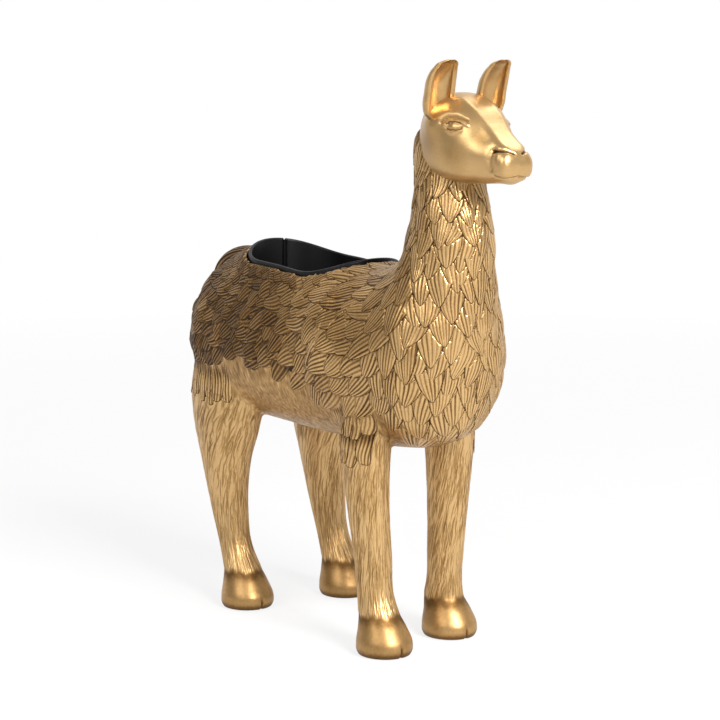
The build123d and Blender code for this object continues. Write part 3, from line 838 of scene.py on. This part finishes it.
class Lock:
    """One lock or strip of wool: its place on the skin, its directions and its outline."""

    def __init__(self, middle, normal, flow, length, width, outline, lift, rank, age):
        turn = rng.normal(0, LOCK_TURN)
        side = np.cross(normal, flow)
        self.middle = middle
        self.normal = normal
        self.along = flow * math.cos(turn) + side * math.sin(turn)
        self.across = side * math.cos(turn) - flow * math.sin(turn)
        self.length = length * rng.uniform(*LOCK_LENGTH_SPREAD)
        self.width = width * rng.uniform(*LOCK_WIDTH_SPREAD)
        self.sickle = rng.normal(0.0, LOCK_SICKLE) * width
        self.outline = outline
        self.lift = lift
        self.rank = rank + rng.uniform(*LOCK_RANK_SPREAD)
        # The lock's painted shade, or how much darker a strip is painted
        self.age = age
        self.pitch = STRAND_PITCH * rng.uniform(*STRAND_PITCH_SPREAD)
        self.bow = rng.normal(0, STRAND_BOW)
        self.phase = rng.uniform(0, 2 * math.pi)
        self.inks = rng.uniform(STRAND_FAINT_SHARE, 1.0, STRANDS_AT_MOST)


def lay_locks(points, normals, locks):
    """For each point, which lock lies on top there, with its place along and across that lock."""
    order = np.argsort(points[:, 0])
    sorted_x = points[order, 0]
    best = np.full(len(points), -np.inf)
    names = ("along", "strand", "share", "edge", "ink", "lift", "age")
    top = {name: np.zeros(len(points)) for name in names}
    for lock in locks:
        reach = LOCK_REACH_SHARE * lock.length
        first, last = np.searchsorted(sorted_x, [lock.middle[0] - reach, lock.middle[0] + reach])
        near = order[first:last]
        gap = points[near] - lock.middle
        along = gap @ lock.along / lock.length + 0.5
        sideways = gap @ lock.across - lock.sickle * (along - 0.5) ** 2
        half = lock.width / 2 * np.interp(along, LOCK_PLACE_SHARES, lock.outline)
        rank = np.minimum(along / RANK_RISE_SHARE, 1.0) + lock.rank
        inside = (along > 0) & (along < 1) & (np.abs(sideways) < half) & (rank > best[near])
        facing = normals[near] @ lock.normal > FACING_LEAST
        inside &= (np.abs(gap @ lock.normal) < lock.width) & facing
        won = near[inside]
        best[won] = rank[inside]
        top["along"][won] = along[inside]
        offset = sideways[inside] / (half[inside] / lock.width * 2) ** STRAND_SPREAD
        wave = STRAND_WAVE * np.sin(STRAND_WAVES * along[inside] + lock.phase)
        bend = lock.bow * (along[inside] - 0.5) ** 2 + wave
        strand = offset / lock.pitch + bend
        top["strand"][won] = strand
        top["ink"][won] = lock.inks[np.round(strand).astype(int) % len(lock.inks)]
        top["share"][won] = sideways[inside] / half[inside]
        top["edge"][won] = np.minimum(half - np.abs(sideways), (1 - along) * lock.length)[inside]
        top["lift"][won] = lock.lift
        top["age"][won] = lock.age
    return best > -np.inf, top


def carve(points, normals, locks):
    """Points moved out and in as the wool is carved, and what its paint needs to know."""
    covered, top = lay_locks(points, normals, locks)
    strand = top["strand"]
    from_groove = np.abs(strand - np.round(strand))
    height = ROOT_HEIGHT + (TIP_HEIGHT - ROOT_HEIGHT) * top["along"] - LOCK_DOME * top["share"] ** 2
    height -= EDGE_DEPTH * np.exp(-(top["edge"] / EDGE_WIDTH) ** 2)
    height -= STRAND_DEPTH * top["ink"] * np.exp(-(from_groove / STRAND_GROOVE_SHARE) ** 2)
    height = np.where(covered, height + top["lift"], -HIDDEN_DEPTH)
    # Painted shade: each lock darker at its root under the tips above, points under no lock fully dark,
    # and the painted shade of the flank, rump and neck added
    root = ROOT_SHADE_AND_WASH * (1 - smooth_step(*ROOT_FADE_SHARES, top["along"]))
    wash_and_shade = np.where(covered, root, 1.0) + SHADE_DARKNESS * top["age"]
    edge = np.where(covered, top["edge"] / MM, 0.0)
    colours = dict(zip(CARVED_ATTRIBUTES, (strand, edge, STRAND_WASH * top["ink"], np.maximum(wash_and_shade, 0))))
    return points + normals * height[:, None], colours, covered


def wool_piece(name, faces, locks):
    """Closed piece of carved wool over some faces of the skin, cut three times finer than they are."""
    used, corners = np.unique(faces, return_inverse=True)
    faces = corners.reshape(faces.shape)
    points, normals = skin_points[used], skin_normals[used]
    sides = np.stack([faces, np.roll(faces, -1, axis=1)], axis=-1).reshape(-1, 2)
    edges, side_edge, edge_count = np.unique(
        np.sort(sides, axis=1), axis=0, return_inverse=True, return_counts=True)
    forward = sides[:, 0] < sides[:, 1]
    first_edge = len(points) + 2 * side_edge.ravel()
    near_end = np.where(forward, first_edge, first_edge + 1).reshape(-1, 4)
    far_end = np.where(forward, first_edge + 1, first_edge).reshape(-1, 4)
    first_inner = len(points) + 2 * len(edges) + 4 * np.arange(len(faces))
    inner = first_inner[:, None] + np.arange(4)[None, :]

    def refined(values):
        start, end = values[edges[:, 0]], values[edges[:, 1]]
        along = np.stack([start * 2 + end, start + end * 2], axis=1).reshape(-1, 3) / 3
        corner = values[faces]
        weights = np.array([(4, 2, 1, 2), (2, 4, 2, 1), (1, 2, 4, 2), (2, 1, 2, 4)]) / 9
        middle = np.einsum("kc,fcx->fkx", weights, corner).reshape(-1, 3)
        return np.concatenate([values, along, middle])

    fine_points, fine_normals = refined(points), unit(refined(normals))
    carved, colours, covered = carve(fine_points, fine_normals, locks)
    small = []
    for corner in range(4):
        before, after = (corner - 1) % 4, (corner + 1) % 4
        near, far, middle = near_end[:, corner], far_end[:, corner], inner[:, corner]
        small.append(np.stack([faces[:, corner], near, middle, far_end[:, before]], axis=1))
        small.append(np.stack([near, far, inner[:, after], middle], axis=1))
    small.append(inner)
    back_start = len(carved)
    back = points - normals * (WOOL_BACK + HIDDEN_DEPTH)
    rim = np.flatnonzero(edge_count[side_edge.ravel()] == 1)
    walls = []
    for side in rim:
        start, end = sides[side]
        chain = (end, far_end.ravel()[side], near_end.ravel()[side], start)
        walls.append((*chain, back_start + start, back_start + end))
    polygons = [tuple(face) for face in np.concatenate(small).tolist()]
    polygons += [tuple(face) for face in (back_start + faces[:, ::-1]).tolist()] + walls
    piece = mesh_piece(name, np.concatenate([carved, back]), polygons)
    for attribute, values in colours.items():
        paint(piece, attribute, np.concatenate([values, np.ones(len(back))]))
    return piece


def leg_strips(name, leg_surface):
    """Straight strips of hair round the outer side of the top of one leg, on the skin or the leg."""
    middle_y, body_x = (value * MM for value in LEGS[name][1:])
    side = math.copysign(1, middle_y)
    skin_surface = BVHTree.FromObject(skin, bpy.context.evaluated_depsgraph_get())
    strips = []
    for row, (top, length, rear, front) in enumerate(STRIP_ROWS[name.split("_")[0]]):
        for place in np.arange(rear, front, STRIP_STEP) * MM:
            level = (top - length / 2 + rng.uniform(-STRIP_SCATTER, STRIP_SCATTER)) * MM
            start = Vector((body_x + place, middle_y + side * STRIP_REACH, level))
            inward = (start, Vector((0, -side, 0)), STRIP_REACH)
            hits = [surface.ray_cast(*inward) for surface in (skin_surface, leg_surface)]
            hits = [hit for hit in hits if hit[0] is not None]
            if not hits:
                continue
            spot, normal, face, gap = min(hits, key=lambda hit: hit[3])
            normal = np.array(normal)
            flow = unit(np.array([0, 0, -1.0]) + normal * normal[2])
            spread = (np.array(spot), normal, flow, length * MM, STRIP_WIDTH)
            strips.append(Lock(*spread, STRIP_WIDTH_SHARES, STRIP_LIFT, STRIP_RANK + row, STRIP_DARKENING))
    return strips


# Legs


def leg_rows(shares, hoof_x, body_x):
    """Sections of a leg and its hoof: height, middle X, half length and half width."""
    rows = []
    for height, setback, half_length, half_width in HOOF_SHARES:
        middle = hoof_x - setback * HOOF_TOE
        level = SOLE_HEIGHT + height * HOOF_HEIGHT
        rows.append((level, middle, half_length * HOOF_LENGTH / 2, half_width * HOOF_WIDTH / 2))
    ankle = hoof_x - HOOF_TOE
    for height, place, half_length, half_width in shares:
        middle = ankle + (body_x - ankle) * place
        rows.append((height * LEG_JOINT_HEIGHT, middle, half_length * LEG_RADIUS, half_width * LEG_RADIUS))
    return np.array(rows)


def carved_hair(heights, angles, girth):
    """Grooves of short engraved hairs on a leg, from 0 between them to 1 in their middle."""
    columns, rows = len(angles), len(heights)
    column_size, row_size = girth / columns, heights[1] - heights[0]
    reach_across, reach_along = int(3 * HAIR_WIDTH / column_size), int(HAIR_LENGTH / row_size)
    across_steps = np.arange(-reach_across * 3, reach_across * 3 + 1)
    along_steps = np.arange(-reach_along, reach_along + 1)
    across, along = np.meshgrid(across_steps * column_size, along_steps * row_size)
    grooves = np.zeros((rows, columns))
    count = int(HAIR_SHARE * girth * (heights[-1] - heights[0]) / (HAIR_LENGTH * HAIR_WIDTH))
    for hair in range(count):
        row, column = rng.integers(rows), rng.integers(columns)
        lean = HAIR_LEAN * math.sin(angles[column]) + rng.normal(0, HAIR_LEAN / 3)
        bow = rng.normal(0, HAIR_BOW)
        length = HAIR_LENGTH * rng.uniform(*HAIR_LENGTH_SHARES)
        offset = across + along * lean + bow * along ** 2 / HAIR_LENGTH
        groove = np.exp(-(offset / HAIR_WIDTH) ** 2) * np.clip(1.2 - (along / length) ** 2, 0, 1)
        row_index = row + along_steps
        keep = (row_index >= 0) & (row_index < rows)
        window = np.ix_(row_index[keep], (column + across_steps) % columns)
        depth = groove[keep] * rng.uniform(*HAIR_DEPTH_SHARES)
        grooves[window] = np.maximum(grooves[window], depth)
    return grooves


def leg_piece(name):
    """Leg with carved hair down to a smooth cloven hoof, and the strips of hair at its top."""
    hoof_x, middle_y, body_x = (value * MM for value in LEGS[name])
    shares = FORE_LEG_SHARES if name.startswith("front") else HIND_LEG_SHARES
    rows = leg_rows(shares, hoof_x, body_x)
    heights = np.linspace(rows[0, 0], rows[-1, 0], LEG_ROWS)
    angles = np.linspace(0, 2 * np.pi, LEG_COLUMNS, endpoint=False)
    middle_x, half_length, half_width = (column[:, None] for column in smooth_rows(rows, heights).T)
    tuck = 1 - TUCK_SHARE * smooth_step(LEG_JOINT_HEIGHT + TUCK_START, rows[-1, 0], heights)[:, None]
    hair = carved_hair(heights, angles, 2 * np.pi * LEG_RADIUS)
    slow, quick = HAIR_END_WAVES
    waves = np.sin(slow * angles) + np.sin(quick * angles + hoof_x / MM)
    hair_end = HAIR_START + HAIR_END_WAVE * waves[None, :]
    hairy = smooth_step(-HAIR_FADE, HAIR_FADE, heights[:, None] - hair_end)
    hoof_line = np.exp(-((heights[:, None] - hair_end + HAIR_FADE) / HOOF_LINE_WIDTH) ** 2)
    relief = -HAIR_DEPTH * hair * hairy
    toe = np.minimum(angles, 2 * np.pi - angles)[None, :] * half_width
    below_top = 1 - smooth_step(CLEFT_TOP - CLEFT_FADE, CLEFT_TOP, heights)[:, None]
    cleft = np.exp(-(toe / CLEFT_WIDTH) ** 2) * below_top
    relief = relief - CLEFT_DEPTH * cleft + LEG_COVER * hairy
    x = middle_x + (half_length * tuck + relief) * np.cos(angles)[None, :]
    y = middle_y + (half_width * tuck + relief) * np.sin(angles)[None, :]
    z = np.repeat(heights[:, None], LEG_COLUMNS, axis=1)
    points = np.stack([x, y, z], axis=-1).reshape(-1, 3)
    out_x, out_y = np.cos(angles)[None, :] / half_length, np.sin(angles)[None, :] / half_width
    normals = unit(np.stack([out_x, out_y, np.zeros(z.shape)], axis=-1).reshape(-1, 3))
    under_liner = plan_distance(points) < LINER_GAP + LEG_CLEARANCE
    below_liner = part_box("liner_floor")[0].z - LEG_CLEARANCE
    points[under_liner, 2] = np.minimum(points[under_liner, 2], below_liner)
    sides = tube_faces(LEG_ROWS, LEG_COLUMNS)[:-2]
    strips = leg_strips(name, BVHTree.FromPolygons(points.tolist(), sides))
    carved, colours, covered = carve(points, normals, strips)
    covered &= ~under_liner
    points[covered] = carved[covered]
    piece = tube_piece(name + "_cast", points, LEG_ROWS, LEG_COLUMNS)
    # Painted shade at the sole and in the cleft, and a dark band at the hairline of dark wash with painted
    # shade
    sole = 1 - smooth_step(SOLE_HEIGHT, SOLE_HEIGHT + SOLE_SHADE, heights)[:, None]
    hoof = HOOF_WASH + SOLE_AND_CLEFT_SHADE * np.maximum(cleft, sole) + HAIRLINE_WASH_AND_SHADE * hoof_line
    wash_and_shade = np.clip(HAIR_WASH * hair * hairy + (1 - hairy) * hoof, 0, 1).ravel()
    for attribute, plain in zip(CARVED_ATTRIBUTES, (BETWEEN_STRANDS, FAR_FROM_EDGE, 0.0, wash_and_shade)):
        paint(piece, attribute, np.where(covered, colours[attribute], plain))
    return piece, strips


locks = []
for leg_name in LEGS:
    leg, strips = leg_piece(leg_name)
    finish_piece(leg, "casting", "antique_gold", antique, leg_name)
    locks += strips


# Wool on the skin and the legs

outside = outer_side(skin_points, skin_normals)
levels = skin_points[:, 2]
clear_of_rim = (plan_distance(skin_points) > LINER_GAP + WOOL_RIM_GAP) | (levels < BODY_AXIS_Z)
woolly = outside & clear_of_rim & (wool_depth(skin_points) > LOWEST_LOCK) & (levels < HIGHEST_LOCK_Z)
candidates = np.flatnonzero(woolly)
bare = candidates
while len(bare) > 0:
    locks += place_locks(skin_points[bare], skin_normals[bare])
    bare = candidates[~lay_locks(skin_points[candidates], skin_normals[candidates], locks)[0]]
covered = lay_locks(skin_points, skin_normals, locks)[0] & outside
quads = np.array([face.vertices for face in skin.data.polygons])
woolly_quads = quads[covered[quads].any(axis=1) & outside[quads].all(axis=1)]
centres = skin_points[woolly_quads].mean(axis=1)
ahead = centres[:, 0] > WOOL_SPLIT_X
left = centres[:, 1] > 0
for name, chosen in (("rear_right_wool", ~ahead & ~left), ("rear_left_wool", ~ahead & left),
                     ("front_right_wool", ahead & ~left), ("front_left_wool", ahead & left)):
    wool = wool_piece(name, woolly_quads[chosen], locks)
    finish_piece(wool, "casting", "antique_gold", carved_gold)
deep = smooth_step(*SINK_BAND, wool_depth(skin_points)) * covered
deep = deep * smooth_step(*RIM_SINK_BAND, plan_distance(skin_points))
move_points(skin, skin_points - skin_normals * (SKIN_SINK * deep)[:, None])
# Skin under the wool painted darker, as painted shade between the locks
paint(skin, "wash_and_shade", SKIN_WASH + SUNK_SHADE * deep)
finish_piece(skin, "casting", "antique_gold", haired, "torso_shell")


# Head, ears and tail


def head_grid():
    """Plain head before carving, as rings from the nape to the nose."""
    rows = np.linspace(HEAD_SHARES[0, 0], HEAD_SHARES[-1, 0], HEAD_ROWS)
    top_x, top_z, low_x, low_z, width = (column[:, None] for column in smooth_rows(HEAD_SHARES, rows).T)
    angles = np.linspace(0, 2 * np.pi, HEAD_COLUMNS, endpoint=False)[None, :]
    power = 2 / HEAD_SQUARENESS
    side = np.sign(np.cos(angles)) * np.abs(np.cos(angles)) ** power
    lift = np.sign(np.sin(angles)) * np.abs(np.sin(angles)) ** power
    upper = HEAD_MIDDLE_SHARE + lift * (1 - HEAD_MIDDLE_SHARE)
    place = np.where(lift > 0, upper, HEAD_MIDDLE_SHARE * (1 + lift))
    x = NAPE_X + (low_x + (top_x - low_x) * place) * HEAD_LENGTH
    y = np.maximum(width, HEAD_LEAST_SHARE) * HEAD_WIDTH / 2 * side
    z = JAW_Z + (low_z + (top_z - low_z) * place) * HEAD_HEIGHT
    return np.stack([x, y, z], axis=-1).reshape(-1, 3)


def path_distance(points, path):
    """Distance of each point from a path of straight steps."""
    nearest = np.linalg.norm(points - path[0], axis=1)
    for start, end in zip(path[:-1], path[1:]):
        step = end - start
        share = np.clip(((points - start) @ step) / max(step @ step, 1e-12), 0, 1)[:, None]
        nearest = np.minimum(nearest, np.linalg.norm(points - start - share * step, axis=1))
    return nearest


def on_surface(points, path):
    """A path in short steps, each at the nearest of some points."""
    places = np.linspace(0, len(path) - 1, STROKE_STEPS * (len(path) - 1) + 1)
    fine = np.stack([np.interp(places, np.arange(len(path)), path[:, axis]) for axis in range(3)], axis=1)
    return np.array([points[np.linalg.norm(points - spot, axis=1).argmin()] for spot in fine])


def carve_head(piece):
    """Works the face into the plain head with raised and sunk strokes, the same on both sides, and paints
    shade along them.
    """
    wash_and_shade = np.full(len(piece.data.vertices), HEAD_WASH)
    for radius, height, stroke_shade, *path in HEAD_STROKES:
        points, normals = mesh_arrays(piece)
        for side in (-1, 1):
            line = on_surface(points, np.array(path) * np.array([1, side, 1]) * MM)
            falloff = np.exp(-(path_distance(points, line) / (radius * MM)) ** 2)
            points = points + normals * (height * MM * falloff)[:, None]
            # Painted shade along the strokes that carry it
            wash_and_shade = np.maximum(wash_and_shade, stroke_shade * falloff)
        move_points(piece, points)
    paint(piece, "wash_and_shade", wash_and_shade)


head = tube_piece("head_cast", head_grid(), HEAD_ROWS, HEAD_COLUMNS)
carve_head(head)
finish_piece(head, "casting", "brushed_gold", brushed, "head")


def ear_loop():
    """Closed loop round the wall of a cupped ear: the angle round the cup and the side of the wall."""
    turns = np.linspace(-EAR_OPEN, EAR_OPEN, EAR_STEPS)
    lips = np.linspace(0, math.pi, LIP_STEPS)[1:-1]
    lip_angles = np.full(len(lips), EAR_OPEN)
    angles = np.concatenate([turns, lip_angles, turns[::-1], -lip_angles])
    sides = np.concatenate([np.ones(EAR_STEPS), np.cos(lips), -np.ones(EAR_STEPS), -np.cos(lips)])
    pushes = np.concatenate([np.zeros(EAR_STEPS), np.sin(lips), np.zeros(EAR_STEPS), -np.sin(lips)])
    return angles[None, :], sides[None, :] * EAR_WALL / 2, pushes[None, :] * EAR_WALL / 2


def ear_piece(name, side):
    """Upright ear with a wide cup open to the front, its tip curled forwards."""
    foot, tip = EAR_SECTIONS[0, 0], EAR_SECTIONS[-1, 0]
    heights = foot + (tip - foot) * np.sin(np.linspace(0, np.pi / 2, EAR_ROWS))
    place_x, place_y, half, depth = (column[:, None] for column in smooth_rows(EAR_SECTIONS, heights).T)
    angles, wall, push = ear_loop()
    wall = wall * np.minimum(1, half / EAR_WALL)
    push = push * np.minimum(1, half / EAR_WALL)
    sideways = (half + wall) * np.sin(angles) + push * np.cos(angles)
    forwards = -(depth + wall) * np.cos(angles) + push * np.sin(np.abs(angles))
    x = place_x + forwards * math.cos(EAR_TURN) - sideways * math.sin(EAR_TURN)
    y = place_y + sideways * math.cos(EAR_TURN) + forwards * math.sin(EAR_TURN)
    upper = smooth_step(foot, tip, heights)[:, None]
    z = heights[:, None] - EAR_SKEW * np.sin(angles) * (1 - upper)
    points = np.stack([x, side * y, z], axis=-1).reshape(-1, 3)
    piece = tube_piece(name + "_cast", points, EAR_ROWS, angles.shape[1])
    # Painted shade inside the cup, fading towards the tip
    inside = smooth_step(0, EAR_WALL / 2, -wall)
    paint(piece, "wash_and_shade", (CASTING_WASH[name] + EAR_CUP_SHADE * inside * (1 - upper)).ravel())
    return piece


for node_name, side in (("left_ear", 1), ("right_ear", -1)):
    finish_piece(ear_piece(node_name, side), "casting", "brushed_gold", brushed, node_name)

tail = casting_copy("tail", "tail_cast", CASTING_VOXEL)
soften(tail, CASTING_SMOOTHING, np.ones(len(tail.data.vertices)))
tail_points, tail_normals = mesh_arrays(tail)
from_middle = tail_points - tail_points.mean(axis=0)
lengthwise = np.linalg.svd(from_middle, full_matrices=False)[2][0]
upward = np.array([-lengthwise[2], 0, lengthwise[0]])
upward = upward * np.sign(-upward[0])
place, rise = from_middle @ lengthwise, from_middle @ upward
rise = rise - np.polyval(np.polyfit(place, rise, 2), place)
strand = np.arctan2(tail_points[:, 1], rise) / (2 * np.pi) * TAIL_STRANDS
groove = np.exp(-((strand - np.round(strand)) / STRAND_GROOVE_SHARE) ** 2)
move_points(tail, tail_points - tail_normals * (STRAND_DEPTH * groove)[:, None])
tail_colours = (strand, FAR_FROM_EDGE, STRAND_WASH, CASTING_WASH["tail"])
for attribute, value in zip(CARVED_ATTRIBUTES, tail_colours):
    paint(tail, attribute, np.broadcast_to(value, len(place)))
finish_piece(tail, "casting", "brushed_gold", carved_gold, "tail")


# Liner and felt pads


def liner_ring():
    """Liner wall with a rounded rim at the drawn wall's own height, a butt seam and its notch."""
    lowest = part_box("liner_wall")[0]
    straight, half = LINER_LENGTH - LINER_WIDTH, LINER_WIDTH / 2
    seam = Vector((-math.cos(SEAM_ANGLE), math.sin(SEAM_ANGLE), 0))
    seam_spot = Vector((liner_x - straight / 2, 0, 0)) + seam * half
    profile = []
    for step in range(RIM_STEPS + 1):
        turn = math.pi * step / RIM_STEPS
        profile.append((-LINER_WALL / 2 * (1 - math.cos(turn)), LINER_WALL / 2 * (math.sin(turn) - 1)))
    points = []
    for (spot, outward), rim_top in zip(liner_plan(), liner_tops()):
        away = (Vector((spot.x, spot.y, 0)) - seam_spot).length
        notch = NOTCH_DEPTH * math.exp(-(away / NOTCH_WIDTH) ** 4)
        groove = SEAM_DEPTH * math.exp(-(away / SEAM_WIDTH) ** 4)
        top = rim_top - notch
        points.append(Vector((spot.x, spot.y, lowest.z)))
        for inset, drop in profile:
            points.append(spot + outward * inset + Vector((0, 0, top + drop)))
        inner = spot - outward * (LINER_WALL - groove)
        points[-1] = Vector((inner.x, inner.y, points[-1].z))
        points.append(Vector((inner.x, inner.y, lowest.z)))
    piece = tube_piece("liner_ring", points, RING_STEPS, len(points) // RING_STEPS, joined=True)
    bpy.ops.object.shade_smooth_by_angle(angle=LINER_CREASE)
    return piece


finish_piece(liner_ring(), "liner", "liner_black", black, "liner_wall")

for node_name, material in (("liner_floor", black), ("foot_pads", felt)):
    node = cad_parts[node_name]
    node.data.materials.clear()
    node.data.materials.append(material)


# Floor, lamps and camera


def area_lamp(name, turn, height, size, power):
    """Square lamp round the object, facing its middle."""
    aim = Vector((0, 0, LAMP_AIM_HEIGHT))
    place = Vector((math.sin(turn) * LAMP_DISTANCE, -math.cos(turn) * LAMP_DISTANCE, height))
    lamp = bpy.data.lights.new(name, "AREA")
    lamp.size = size
    lamp.energy = power
    holder = bpy.data.objects.new(name, lamp)
    holder.location = place
    holder.rotation_euler = (aim - place).to_track_quat("-Z", "Y").to_euler()
    bpy.context.scene.collection.objects.link(holder)


def pale_material(name, whiteness):
    """Pale surface that looks white to the camera and in reflections, and keeps some shadow."""
    material, nodes, links, shader = new_material(name)
    shader.inputs["Base Color"].default_value = (0.90, 0.90, 0.90, 1.0)
    shader.inputs["Roughness"].default_value = 0.9
    path = nodes.new("ShaderNodeLightPath")
    seen = path.outputs["Is Camera Ray"]
    for kind in ("Is Glossy Ray", "Is Transmission Ray"):
        seen = math_node(nodes, links, "MAXIMUM", seen, path.outputs[kind])
    place = nodes.new("ShaderNodeTexCoord")
    distance = nodes.new("ShaderNodeVectorMath")
    distance.operation = "LENGTH"
    links.new(place.outputs["Object"], distance.inputs[0])
    fade = range_node(nodes, links, distance.outputs["Value"], whiteness, 1.0, 0.0, WHITE_DISTANCE)
    glow = nodes.new("ShaderNodeEmission")
    whiten = nodes.new("ShaderNodeMixShader")
    links.new(math_node(nodes, links, "MULTIPLY", seen, fade), whiten.inputs["Fac"])
    links.new(shader.outputs["BSDF"], whiten.inputs[1])
    links.new(glow.outputs["Emission"], whiten.inputs[2])
    links.new(whiten.outputs["Shader"], nodes["Material Output"].inputs["Surface"])
    return material


def pale_sheet(name, whiteness, upright):
    """Wide pale sheet, flat on the ground or upright behind the object."""
    bpy.ops.mesh.primitive_plane_add(size=FLOOR_SIZE)
    sheet = bpy.context.object
    sheet.name = name
    if upright:
        bpy.ops.transform.rotate(value=math.pi / 2, orient_axis="X", center_override=(0, 0, 0))
        bpy.ops.transform.rotate(value=-CAMERA_TURN, orient_axis="Z", center_override=(0, 0, 0))
        behind = (-math.sin(CAMERA_TURN) * WALL_DISTANCE, math.cos(CAMERA_TURN) * WALL_DISTANCE, 0)
        bpy.ops.transform.translate(value=behind)
    sheet.data.materials.append(pale_material(name + "_white", whiteness))


select_only(skin)
pale_sheet("floor", FLOOR_WHITENESS, False)
pale_sheet("backdrop", 1.0, True)

world = bpy.data.worlds.new("studio")
bpy.context.scene.world = world
world.use_nodes = True
soft_light = world.node_tree.nodes["Background"]
soft_light.inputs["Color"].default_value = (1.0, 1.0, 1.0, 1.0)
soft_light.inputs["Strength"].default_value = WORLD_LIGHT

for lamp_name, (lamp_turn, *lamp_sizes) in LAMPS.items():
    area_lamp(lamp_name, math.radians(lamp_turn), *lamp_sizes)

camera_data = bpy.data.cameras.new("camera")
camera_data.lens = CAMERA_LENS
camera_data.sensor_width = CAMERA_SENSOR
camera = bpy.data.objects.new("camera", camera_data)
camera.location = CAMERA_PLACE
camera.rotation_euler = (math.pi / 2 - CAMERA_PITCH, 0, CAMERA_TURN)
bpy.context.scene.collection.objects.link(camera)
bpy.context.scene.camera = camera
bpy.context.scene.view_settings.view_transform = "Standard"
